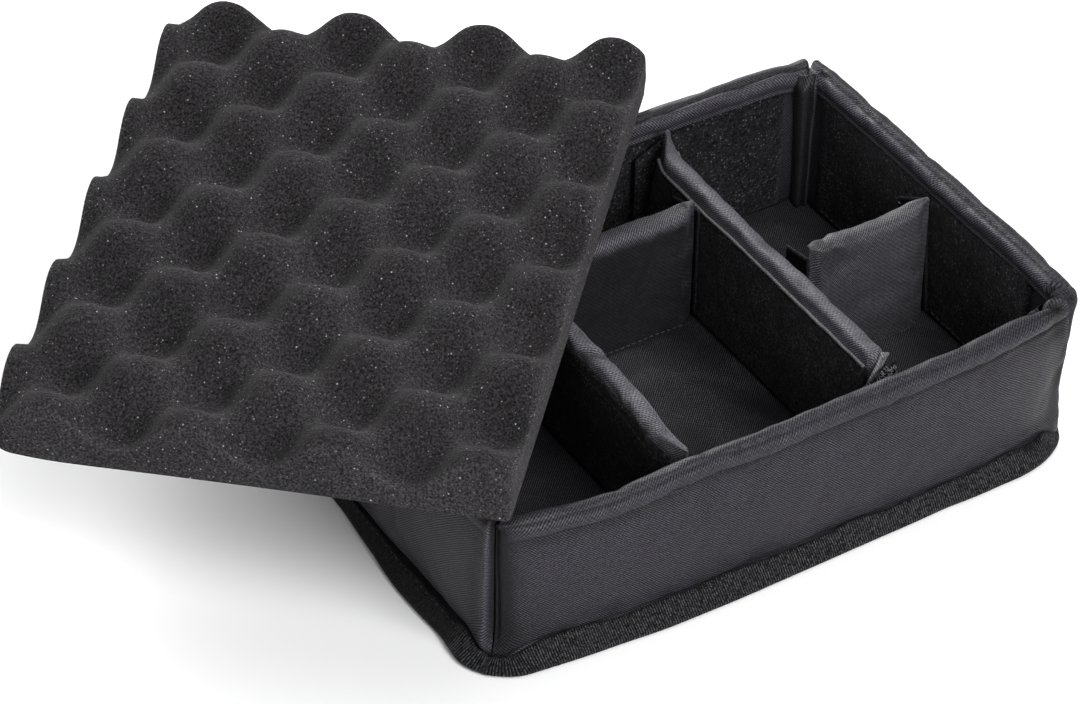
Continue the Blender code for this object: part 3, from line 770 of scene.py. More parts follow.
def wall_profile():
    """Path round the sleeve as (v, t, z); v is the way up the cloth from the foot outside."""
    v = np.concatenate([
        np.linspace(0.0, 6.0, 7)[:-1], np.linspace(6.0, 50.0, 20)[:-1], np.linspace(50.0, 80.0, 56)[:-1],
        np.linspace(80.0, V_END, 20)])
    t = np.zeros_like(v)
    z = np.zeros_like(v)
    for i, x in enumerate(v):
        if x <= V_DOME0:
            t[i], z[i] = 0.0, 7.0 + x
        elif x <= V_DOME1:
            th = (x - V_DOME0) / DOME
            t[i], z[i] = DOME - DOME * math.cos(th), RIM - DOME + DOME * math.sin(th)
        else:
            t[i], z[i] = WALL_T, RIM - DOME - (x - V_DOME1)
    return v, t, z


# how much lower (mm) the front rim lies than its smooth line, along the wall
FRONT_DROP = [(-128, 3.2), (-121, 5.2), (-112, 5.0), (-103, 4.6), (-96, 4.2), (-80, 4.0), (-65, 2.6), (-49, 0.9),
              (-28, 0.9), (-7, 1.0), (18, 0.3), (40, 0.0), (62, -0.2), (85, 0.2), (97, 0.9), (105, 2.3),
              (111, 3.0), (116, 2.6), (122, 1.2), (128, 0.3)]


def rim_lines(wall, a):
    """Where the crease under the roll and the seam on the roll run, up the cloth."""
    seed = WALL_SEED[wall]
    wander = 0.5 * noise(a / 19.0, 0 * a, 11 + seed) + 0.2 * noise(a / 6.0, 0 * a, 12 + seed)
    if wall == "front":
        return 55.6 + wander, 63.0 + 0.5 * wander
    return 55.0 + wander, 66.9 + 0.4 * wander


HEM_V = 75.6


def wall_relief(wall, a, v):
    """Height of the cloth over the plain sleeve: rolls, seams, puckers (mm)."""
    run = wall_run(wall)
    end = run - np.abs(a)
    seed = WALL_SEED[wall]
    at_b = ((wall == "front") & (a > 0)) | ((wall == "right") & (a < 0))
    at_a = ((wall == "front") & (a < 0)) | ((wall == "left") & (a > 0))
    fade = np.where(at_b & (wall == "front"), smooth(4.0, 15.0, end), smooth(-2.0, 4.0, end))
    fade = np.where(at_b & (wall == "right"), smooth(-6.0, 38.0, end), fade)
    fade = np.where(at_a, smooth(2.0, 17.0, end), fade)
    crease, groove = rim_lines(wall, a)
    d = np.zeros(np.broadcast(a, v).shape)
    # gentle fullness of the panel, pulled in at the foot and at the corners
    d = d + 0.9 * np.sin(np.pi * np.clip(v / 56.0, 0, 1)) * smooth(0, 26, end)
    pull_foot = 1.0 + 0.5 * noise(a / 15.0, 0 * v, 15 + seed)
    d = d - 1.7 * bell(v + 0.2, 2.3) * pull_foot - 0.35 * bell(v - 4.5, 3.0)
    d = d + 0.32 * noise(a / 11.0, v / 9.0, 16 + seed) * bell(v - 7.0, 5.0)
    d = d + 0.20 * fbm(a / 26.0, v / 20.0, 20 + seed, 3) * smooth(2, 10, v)
    if wall == "front":
        d = d - (0.80 * bell(v - crease, 0.9) + 0.45 * bell(v - crease + 3.2, 3.0)) * fade
        d = d + 0.95 * fade * np.clip(np.sin(np.pi * np.clip((v - crease) / (groove - crease), 0, 1)), 0, 1) ** 0.8
        d = d - 0.36 * fade * bell(v - groove, 0.8)
        d = d + 0.45 * fade * np.clip(np.sin(np.pi * np.clip((v - groove) / 7.4, 0, 1)), 0, 1)
        d = d + 0.42 * noise(a / 5.6 - v / 9.0, v / 9.0, 31) * bell(v - 58.5, 4.0) * fade
        d = d + 0.45 * noise(a / 7.0 + v / 9.0, v / 6.0, 32) * bell(v - 66.0, 5.0)
        d = d + 0.30 * noise(a / 3.1 - v / 5.0, v / 8.0, 34) * bell(v - 61.0, 5.0) * fade
        d = d - 0.35 * np.clip(noise(a / 4.2, 0 * v, 37), 0, 1) * bell(v - crease, 1.6) * fade
    else:
        d = d - 0.45 * bell(v - crease, 1.4) * fade
        d = d + {"right": 0.7, "rear": 0.95}.get(wall, 1.45) * fade * np.clip(np.sin(np.pi * np.clip((v - crease) / (groove - crease), 0, 1)), 0, 1) ** 0.9
        d = d - {"right": 0.5, "rear": 0.6}.get(wall, 0.85) * bell(v - groove, 0.9) * fade
        d = d + (0.75 if wall != "right" else 0.45) * np.clip(np.sin(np.pi * np.clip((v - groove) / 7.5, 0, 1)), 0, 1)
        d = d + 0.62 * noise(a / 4.6 + 0.5 * (v - groove) / 4.0, v / 16.0, 33 + seed) * bell(v - groove - 2.8, 3.2)
        d = d + 0.22 * noise(a / 4.3, v / 12.0, 35 + seed) * bell(v - groove + 3.0, 3.0)
        d = d + 0.25 * noise(a / 9.0, v / 7.0, 36 + seed) * bell(v - groove, 9.0)
    if wall in ("right", "rear"):
        # the sleeve's inner shoulder is filled out to a flat band as far as the hem
        d = d + (0.75 if wall == "right" else 0.5) * np.clip(np.sin(np.pi * np.clip((v - groove - 0.6) / 8.0, 0, 1)), 0, 1) ** 0.7
    # each stitch draws the cloth in a little
    d = d - 0.14 * (0.5 - 0.5 * np.cos(2 * np.pi * (a + 200.0) / 4.0)) * bell(v - groove, 1.3) * fade
    # hem bead over the loop panel's upper edge
    hem = HEM_V + 0.12 * noise(a / 19.0, 0 * v, 17 + seed)
    d = d + (0.95 if wall == "right" else 0.75) * bell(v - hem, 0.7) - 0.5 * bell(v - hem - 2.2, 1.2) - 0.35 * bell(v - hem + 1.8, 0.9)
    outside = (v < V_DOME1)
    # upright corner seams, where two panels meet
    deep = np.where(at_b, 0.35, np.where(at_a, 2.6, 1.6))
    wide = np.where(at_b, 1.0, np.where(at_a & (wall == "front"), 5.6, 1.5))
    d = d - deep * bell(end, wide) * smooth(0.5, 9, v) * (1 - 0.4 * smooth(60, 66, v)) * outside
    d = d + 1.7 * bell(end, 8.0) * smooth(16.0, 1.0, v) * outside * np.where(at_a | at_b, 1.0, 0.4)
    if wall == "left":
        d = d + 1.0 * bell(end - 3.2, 1.3) * (a > 0) * smooth(1, 7, v) * smooth(V_DOME0 + 8, V_DOME0, v)
        d = d - 0.5 * bell(end - 7.5, 2.5) * (a > 0) * smooth(1, 7, v) * smooth(V_DOME0 + 8, V_DOME0, v)
    if wall == "front":
        # at the right-hand corner the panel's edge leans in towards its top
        line = 1.0 + 8.4 * np.clip(v / 64.0, 0, 1) ** 1.1
        m = (a > 0) * (v < V_DOME1) * smooth(2, 10, v)
        d = d - 0.95 * bell(end - line + 0.9, 0.75) * m + 0.75 * bell(end - line - 0.6, 0.7) * m
        d = d - 0.6 * bell(end - line - 5.0, 3.6) * m
    # the pointed upper corner at the front right
    d = d + (0.9 * smooth(14.0, 62.0, v) + 0.4 * bell(v - 65.8, 2.6)) * bell(end, 3.0) * at_b * (v < 70.0)
    # the roll is flattened where it is tucked in at the front left corner
    d = d - 1.5 * bell(end, 7.0) * bell(v - 63.0, 7.0) * at_a
    pinch = at_b & (wall == "front")
    d = d - pinch * (1.9 * bell(end - 11.0 - 0.25 * (v - 62.0), 1.7) + 1.2 * bell(end - 6.6 + 0.2 * (v - 62.0), 1.2)
                     + 0.7 * bell(end - 16.5 - 0.3 * (v - 62.0), 1.6)) * bell(v - 66.0, 9.0)
    d = d + pinch * 0.8 * bell(end - 8.8, 1.2) * bell(v - 64.0, 6.0)
    # puckers gathered at the upper corners
    gather = bell(end, 13.0) * bell(v - 66.0, 9.0) * np.where(at_b, 1.05 if wall == "front" else 0.2, 1.0)
    d = d + gather * (0.85 * noise(end / 2.6, v / 7.0, 51 + seed) + 0.55 * noise(end / 5.2 + 3, v / 3.4, 52 + seed))
    if wall == "rear":
        d = d + 0.8 * bell(end - 6.0, 3.0) * bell(v - 64.0, 5.0) * (a < 0)
    return d


def wall_drop(wall, a, v):
    """Extra lowering of the rim (mm), fading down the wall."""
    up = smooth(12.0, 58.0, np.where(v < V_DOME1, v, 2 * V_DOME1 - v - (V_DOME1 - V_DOME0)))
    if wall == "front":
        return table(a, FRONT_DROP) * up
    run = wall_run(wall)
    end = run - np.abs(a)
    if wall == "right":
        return (-0.5 * smooth(0, 20, end) - 0.9 * bell(end - 22, 20) * (a < 0) - 0.3 * bell(end, 5) * (a < 0)) * up
    if wall == "rear":
        return (-0.6 * smooth(0, 20, end) + 1.0 * bell(end - 12, 5) * (a < 0) + 3.3 * bell(end, 7) * (a < 0)) * up
    # the pad bears on the left wall's front end
    return (1.0 * smooth(-40, 60, a) + 2.0 * bell(run - a, 14.0)) * up


WALL_GRID = {}
WALL_SEED = {"front": 1, "right": 2, "rear": 3, "left": 4}


def tape_reach(wall, a):
    """How far the tape stands out, as a share of its full 8.2 mm."""
    a = np.asarray(a, float)
    run = wall_run(wall)
    if wall == "front":
        return table(a, [(-run, 1.03), (-116, 1.03), (-107, 0.94), (-97, 0.88), (-80, 0.85), (-60, 0.92), (-40, 0.91),
                         (-10, 0.87), (8, 0.81), (30, 0.73), (53, 0.68), (65, 0.64), (76, 0.71), (88, 0.78), (100, 0.90),
                         (107, 0.84), (113, 0.66), (118, 0.42), (run, 0.24)])
    if wall == "right":
        return table(a, [(-run, 0.24), (-76, 0.16), (-60, 0.4), (0, 0.8), (60, 0.85), (run, 0.85)])
    if wall == "rear":
        return table(a, [(-run, 0.85), (0, 0.8), (run, 0.85)])
    return table(a, [(-run, 0.85), (-48, 0.50), (-18, 0.20), (9, 0.54), (28, 0.78), (50, 0.80), (64, 0.76), (74, 0.93),
                     (run, 1.03)])


def foot_fall(wall, a):
    """How much lower (mm) the seam with the tape runs; the cloth is drawn down at the corners."""
    end = wall_run(wall) - np.abs(a)
    at_a = ((wall == "front") & (a < 0)) | ((wall == "left") & (a > 0))
    at_b = ((wall == "front") & (a > 0)) | ((wall == "right") & (a < 0))
    at_a_f = (wall == "front") & at_a
    d = np.where(at_a_f, 5.7 * smooth(23.0, -2.0, end) ** 1.15, 0.0)
    d = np.where(at_a & (wall == "left"), 5.7 * smooth(16.0, -2.0, end), d)
    d = np.where(at_b, 5.4 * smooth(13.0, 0.5, end), d)
    d = np.where(~(at_a | at_b), 2.6 * smooth(14.0, 0.0, end), d)
    if wall == "front":
        d = d + 0.8 * bell(a + 60.0, 26.0)
    return np.clip(d, 0.0, 5.9)


def build_wall(wall):
    run = wall_run(wall)
    step = 1.6
    n = int(2 * run / step)
    q = np.linspace(-1, 1, n + 1)
    a = run * q
    ends = run - np.array([0.35, 0.9, 1.7, 2.7])
    a = np.unique(np.round(np.concatenate([a, ends, -ends]), 3))
    v, t, z = wall_profile()
    A, Vv = np.meshgrid(a, v, indexing="ij")
    trim = -0.12 * (np.abs(A) > run - 0.01)
    P = wall_xyz(wall, A, np.broadcast_to(t, A.shape), np.broadcast_to(z, A.shape), trim=trim)
    N = grid_normals(P, ring_v=False)
    mid = P.mean((0, 1))
    out = np.array([*WALLS[wall][4], 0.0])
    j = np.argmin(np.abs(v - 30.0))
    if (N[len(a) // 2, j] * out).sum() < 0:
        N = -N
    D = wall_relief(wall, A, Vv)
    P = P + N * D[..., None]
    crease, groove = rim_lines(wall, A)
    hold = np.maximum(bell(Vv - crease, 1.6), bell(Vv - groove, 1.4))
    hold = np.maximum(hold, smooth(HEM_V - 2.5, HEM_V - 0.5, Vv))
    hold = np.maximum(hold, smooth(4.0, 1.0, Vv))
    hold = np.maximum(hold, smooth(3.0, 0.6, run - np.abs(A)))
    moved = settle(P, N, hold, 0.006 if wall != "front" else 0.005)
    D = D + moved
    P = P + N * moved[..., None]
    P[..., 2] -= wall_drop(wall, A, Vv)
    fall = foot_fall(wall, a)
    P[..., 2] -= (0.9 * fall)[:, None] * smooth(30.0, 0.0, Vv) * (Vv < V_DOME0)
    WALL_GRID[wall] = (a, v, P.copy(), N.copy())
    # painted shade where the cloth is pressed in, painted highlight on the raised rolls of the rim
    shade = np.clip(-D * 0.5, 0, 1) * (Vv > 1.5) - 0.35 * np.clip((D - 0.35) / 1.0, 0, 1) * (Vv > 54) * (Vv < 74)
    if wall == "front":
        # painted shade under the front crease; along the leaning edge at the right-hand corner a painted highlight line
        # with painted shade beside it; painted shade on the end by the front left corner
        shade = shade + 0.35 * bell(Vv - crease + 2.0, 2.0) * smooth(4, 14, run - A)
        lead = 1.0 + 8.4 * np.clip(Vv / 64.0, 0, 1) ** 1.1
        m = (A > 0) * (Vv < V_DOME0 + 4)
        shade = shade - 0.9 * bell(run - np.abs(A) - lead - 0.4, 0.5) * m + 0.5 * bell(run - np.abs(A) - lead - 4.5, 3.0) * m
        shade = shade + 0.85 * smooth(12.5, 5.0, run - np.abs(A) - 1.5 * noise(Vv / 9.0, 0 * Vv, 39)) * (A < 0) * smooth(V_DOME0 + 6, V_DOME0 - 4, Vv)
    if wall == "left":
        # painted highlight on the fold by the front left corner, painted shade beside it
        shade = shade - 0.95 * bell(run - np.abs(A) - 3.0, 0.8) * (A > 0) * (Vv < V_DOME0 + 2)
        shade = shade + 0.4 * smooth(24.0, 6.0, run - A) * smooth(4.2, 6.0, run - A) * (Vv < V_DOME0 + 2)
    if wall in ("right", "rear"):
        # painted light on the rim's inner band
        shade = shade - 0.75 * smooth(groove + 0.6, groove + 2.0, Vv) * smooth(HEM_V - 0.4, HEM_V - 1.8, Vv)
    if wall != "front":
        # painted shade in the stitched groove, deeper at each stitch
        shade = shade + 0.9 * bell(Vv - groove, 0.5) * (0.62 + 0.38 * np.cos(2 * np.pi * A / 4.0)) * smooth(2, 8, run - np.abs(A))
    # painted highlight on the hem bead
    shade = shade - 1.1 * bell(Vv - HEM_V, 0.6)
    if wall == "left":
        # the left wall's outer face lightened: painted light
        shade = shade - 0.22 * (Vv < V_DOME0)
    shade = np.clip(shade, -1, 1)
    # the flange that runs into the tape, and the foot
    def slope(o):
        return 6.6 - (6.6 - 1.4) / (6.7 - 0.35) * (o - 0.35)
    kk = tape_reach(wall, a)
    tops = [wall_xyz(wall, a, -o * kk, slope(o) + 0.36) for o in (5.4, 3.6, 1.8, 0.5)]
    unders = [wall_xyz(wall, a, -o * kk, slope(o) - 0.36) for o in (-0.3, 1.8, 3.6, 5.4)]
    press = 1.0 - fall / 6.7
    for row in tops + unders:
        row[:, 2] = np.where(row[:, 2] > 1.8, 1.8 + (row[:, 2] - 1.8) * press, row[:, 2])
    inner = [wall_xyz(wall, a, tt, FOOT - 0.1) for tt in (6.0, 3.2, 1.0)]
    S = np.concatenate([np.stack(tops, 1), P, np.stack(inner, 1), np.stack(unders, 1)], 1)
    cl = np.concatenate([np.array([-6.0, -4.0, -2.2, -0.8]), v, V_END + np.array([1.6, 4.4, 6.6]),
                         V_END + np.array([9.0, 11.0, 13.0, 15.0])])
    cloth = np.stack(np.meshgrid(a, cl, indexing="ij"), -1)
    turn = cloth[..., 1] > 55.5
    cloth[..., 1] = np.where(turn, 111.0 - cloth[..., 1], cloth[..., 1])
    if wall in ("rear", "left"):
        cloth[..., 0] = -cloth[..., 0]
    # painted shade on the flange that runs into the tape, and on the inner foot and its underside
    sh = np.concatenate([np.full((len(a), 4), 0.9), shade, np.full((len(a), 7), 0.6)], 1)
    m = S.shape[1]
    faces = loft_faces(len(a), m, cap=False)
    # end caps: the tongue and the board are joined strip by strip
    for base, flip in ((0, True), ((len(a) - 1) * m, False)):
        for k in range(m // 2 - 1):
            qd = (base + k, base + k + 1, base + m - 2 - k, base + m - 1 - k)
            if qd[1] == qd[2]:
                qd = (qd[0], qd[1], qd[3])
            faces.append(qd[::-1] if flip else qd)
        if m % 2:
            k = m // 2 - 1
            qd = (base + k, base + k + 1, base + k + 2)
            faces.append(qd[::-1] if flip else qd)
    ob = make(wall + "_wall_padded", S.reshape(-1, 3), faces, NYLON, cloth.reshape(-1, 2), sh.ravel(),
              "tray")
    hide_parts(wall + "_wall_cover", wall + "_wall_foam")
    return ob


def on_wall(wall, a, v, lift=0.0):
    """A point on the finished wall cloth, and its normal."""
    ga, gv, P, N = WALL_GRID[wall]
    a, v = np.broadcast_arrays(np.asarray(a, float), np.asarray(v, float))
    fi = np.interp(a, ga, np.arange(len(ga)))
    fj = np.interp(v, gv, np.arange(len(gv)))
    i, j = np.clip(fi.astype(int), 0, len(ga) - 2), np.clip(fj.astype(int), 0, len(gv) - 2)
    x, y = (fi - i)[..., None], (fj - j)[..., None]

    def at(G):
        return (G[i, j] * (1 - x) * (1 - y) + G[i + 1, j] * x * (1 - y)
                + G[i, j + 1] * (1 - x) * y + G[i + 1, j + 1] * x * y)
    n = at(N)
    n /= np.linalg.norm(n, axis=-1, keepdims=True)
    return at(P) + n * np.asarray(lift)[..., None], n


def wall_stitches():
    parts = []
    for wall in ("right", "rear", "left"):
        run = wall_run(wall)
        a = np.arange(-run + 9.0, run - 9.0, 0.5)
        p, n = on_wall(wall, a, rim_lines(wall, a)[1])
        parts += stitch_parts(p, n, 4.0, 2.7, 0.5, lift=-0.12)
    joined("rim_stitching", parts, THREAD, "tray", 0.0)


def slab_on_wall(name, wall, a0, a1, z0, z1, t0, t1, mat, rough=0.28, seed=0, wave=0.0, body="tray",
                 step=1.8):
    """A thin panel that follows the wall's inner face, its faces slightly uneven."""
    na, nz = max(4, int((a1 - a0) / step)), max(4, int((z1 - z0) / step))
    a = np.linspace(a0, a1, na)
    z = np.linspace(z0, z1, nz)
    A, Z = np.meshgrid(a, z, indexing="ij")
    edge = np.minimum(np.minimum(A - a0, a1 - A), np.minimum(Z - z0, z1 - Z))
    puff = smooth(0.0, 1.6, edge)
    bumps = rough * (noise(A / 2.1, Z / 2.1, 61 + seed) + 0.6 * fbm(A / 11.0, Z / 11.0, 62 + seed, 2))
    Zw = Z + wave * noise(A / 14.0, 0 * Z, 63 + seed) * smooth(z0, z1, Z)
    drop = wall_drop(wall, A, np.clip(V_DOME1 + RIM - DOME - Z, V_DOME1, V_END)) if body == "tray" else 0.0
    front = wall_xyz(wall, A, t1 * np.ones_like(A) - 0.45 * (1 - puff) + bumps * puff, Zw)
    back = wall_xyz(wall, A, t0 * np.ones_like(A), Zw)
    front[..., 2] -= drop
    back[..., 2] -= drop
    # painted shade: darker towards the panel's edges, and the rear wall's panel darker all over
    return plate_mesh(name, front, back, mat, np.stack([A, Z], -1), body,
                      np.maximum(0.8 * (1 - puff), 0.34 if wall == "rear" else 0.0))


def plate_mesh(name, front, back, mat, cloth, body, shade=0.0, auto=None):
    """Closed plate from two equal grids."""
    na, nz = front.shape[:2]
    n = na * nz
    idx = np.arange(n).reshape(na, nz)
    faces = []
    for i in range(na - 1):
        for j in range(nz - 1):
            q = (int(idx[i, j]), int(idx[i + 1, j]), int(idx[i + 1, j + 1]), int(idx[i, j + 1]))
            faces.append(q)
            faces.append(tuple(x + n for x in q[::-1]))
    ring = ([(i, 0) for i in range(na)] + [(na - 1, j) for j in range(1, nz)]
            + [(i, nz - 1) for i in range(na - 2, -1, -1)] + [(0, j) for j in range(nz - 2, 0, -1)])
    k = [int(idx[i, j]) for i, j in ring]
    for x in range(len(k)):
        y = (x + 1) % len(k)
        faces.append((k[y], k[x], k[x] + n, k[y] + n))
    pts = np.concatenate([front.reshape(-1, 3), back.reshape(-1, 3)])
    c = np.concatenate([cloth.reshape(-1, 2)] * 2)
    sh = np.broadcast_to(np.asarray(shade, float), (na, nz)).reshape(-1)
    return make(name, pts, faces, mat, c, np.concatenate([sh, sh]), body, auto)


LOW_HEM = 11.0


def build_loops():
    for wall in WALLS:
        half = WALLS[wall][0]
        stop = half - 18.0
        ob = slab_on_wall(wall + "_loop_panel", wall, -stop, stop, FOOT + 0.4, 62.2, 7.75, 8.75, LOOP,
                          seed=WALL_SEED[wall])
        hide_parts(wall + "_loop_lining")
        a = np.arange(-stop + 2.0, stop - 2.0, 0.5)
        low = LOW_HEM + 0.5 * noise(a / 23.0, 0 * a, 190 + WALL_SEED[wall])
        if wall == "rear":
            low = low + 12.5 * smooth(62.0, 112.0, wall_xyz(wall, a, 9.0, 11.0)[:, 0])
        p = wall_xyz(wall, a, 9.05, low)
        n = np.tile([-WALLS[wall][4][0], -WALLS[wall][4][1], 0.0], (len(a), 1))
        joined(wall + "_loop_seam", stitch_parts(p, n, 3.4, 2.3, 0.42, lift=0.1), THREAD_LIGHT, "tray")


def build_gussets():
    """The cloth of two sleeves gathered into one soft post in each inner corner."""
    for name, sx, sy in (("A", -1, -1), ("B", 1, -1), ("C", 1, 1), ("D", -1, 1)):
        cx, cy = sx * (HL - WALL_T + 0.4), sy * (HW - WALL_T + 0.4)
        q = np.linspace(0, 1, 40)
        high = {"A": 59.5, "B": 58.5, "C": 69.4, "D": 68.2}[name]
        zz = np.concatenate([np.linspace(7.0, 52.0, 28)[:-1], np.linspace(52.0, high, 18)])
        Q, Z = np.meshgrid(q, zz, indexing="ij")
        up = smooth(16.0, 66.0, Z) * (0.35 if name == "B" else 1.0)
        seed = 150 + ord(name)
        wide = 7.6 + 1.6 * up + 0.5 * noise(Z / 14.0, 0 * Z, seed)
        bulge = (3.3 + 1.5 * up) * (1.0 + 0.12 * noise(Z / 9.0, 0 * Z, seed + 1))
        if name in "CD":
            u, w = np.array([-sx, 0.0]), np.array([0.0, -sy])
        else:
            u, w = np.array([0.0, -sy]), np.array([-sx, 0.0])
        # the cloth leaves one wall, rounds the post and tucks in beside the other
        n = (u + w) / math.sqrt(2.0)
        turn = math.pi * (0.02 + 0.96 * Q)
        across = (u - w) / math.sqrt(2.0)
        lead = 0.50 + 0.05 * noise(Z / 17.0, 0 * Z, seed + 2)
        s = -np.cos(turn) * wide * lead * 1.15
        d = np.sin(turn) ** 0.8 * bulge + 3.0 * (1 - np.abs(np.cos(turn)))
        # a sharp fold down the side that catches the light, a flat face beside it
        fold = 1.1 * bell(Q - 0.24, 0.045) - 0.8 * bell(Q - 0.34, 0.05) + 0.4 * bell(Q - 0.62, 0.09)
        fold = fold + 0.4 * noise(Q * 5.0, Z / 8.0, seed + 3) * up
        edge = smooth(0, 0.10, Q) * smooth(1, 0.90, Q)
        d = d + fold * edge
        cap = smooth(high - 6.0, high, Z)
        d = d * (1 - 0.55 * cap ** 2)
        X = cx + n[0] * (d + 0.6) + across[0] * s
        Y = cy + n[1] * (d + 0.6) + across[1] * s
        tilt = -4.2 * (Q - 0.55) * cap * (0.0 if name == "B" else 1.0)
        front = np.stack([X, Y, Z + tilt], -1)
        back = np.stack([X - n[0] * 0.6, Y - n[1] * 0.6, Z + tilt], -1)
        # painted shade at the tucked edges and beside the fold, a painted highlight along the fold
        sh = np.clip(0.8 * (1 - edge) - 1.1 * bell(Q - 0.24, 0.04) + 0.7 * bell(Q - 0.36, 0.06) + 0.25, -1, 1)
        ob = plate_mesh("corner_gusset_" + name, front, back, NYLON, np.stack([Q * 20.0, -Z], -1), "tray",
                        sh)


# ---------------------------------------------------------------------------
# Base: floor lining, underside, binding tape
# ---------------------------------------------------------------------------
def ring_line(t, z, spans=60):
    """Closed line round the tray at depth t and height z, with its run length."""
    pts = []
    for w in ("front", "right", "rear", "left"):
        run = wall_run(w)
        n = max(8, int(spans * run / 125.0))
        a = np.linspace(-run, run, n + 1)[:-1]
        pts.append(wall_xyz(w, a, t, z))
    return np.concatenate(pts)


def disc(name, t, z_top, z_bot, mat, cloth_fn, top_fn=None, bot_fn=None, rings=26, body="tray",
         shade_fn=None, edge_drop=0.0):
    """A closed sheet that fills the ring."""
    line = ring_line(t, 0.0)
    n = len(line)
    rho = np.linspace(0.02, 1.0, rings)
    XY = line[None, :, :2] * rho[:, None, None]
    X, Y = XY[..., 0], XY[..., 1]
    zt = z_top + (top_fn(X, Y, rho[:, None]) if top_fn else 0 * X)
    zb = z_bot + (bot_fn(X, Y, rho[:, None]) if bot_fn else 0 * X)
    top = np.stack([X, Y, zt], -1)
    bot = np.stack([X, Y, zb], -1)
    pts = np.concatenate([top.reshape(-1, 3), bot.reshape(-1, 3)])
    N = rings * n
    faces = []
    for i in range(rings - 1):
        for j in range(n):
            k = (j + 1) % n
            q = (i * n + j, i * n + k, (i + 1) * n + k, (i + 1) * n + j)
            faces.append(q[::-1])
            faces.append(tuple(x + N for x in q))
    faces.append(tuple(range(n)))
    faces.append(tuple(N + j for j in range(n - 1, -1, -1)))
    last = (rings - 1) * n
    for j in range(n):
        k = (j + 1) % n
        faces.append((last + j, last + k, N + last + k, N + last + j)[::-1])
    c = cloth_fn(pts)
    sh = shade_fn(pts) if shade_fn else np.zeros(len(pts))
    return make(name, pts, faces, mat, c, sh, body, auto=60)


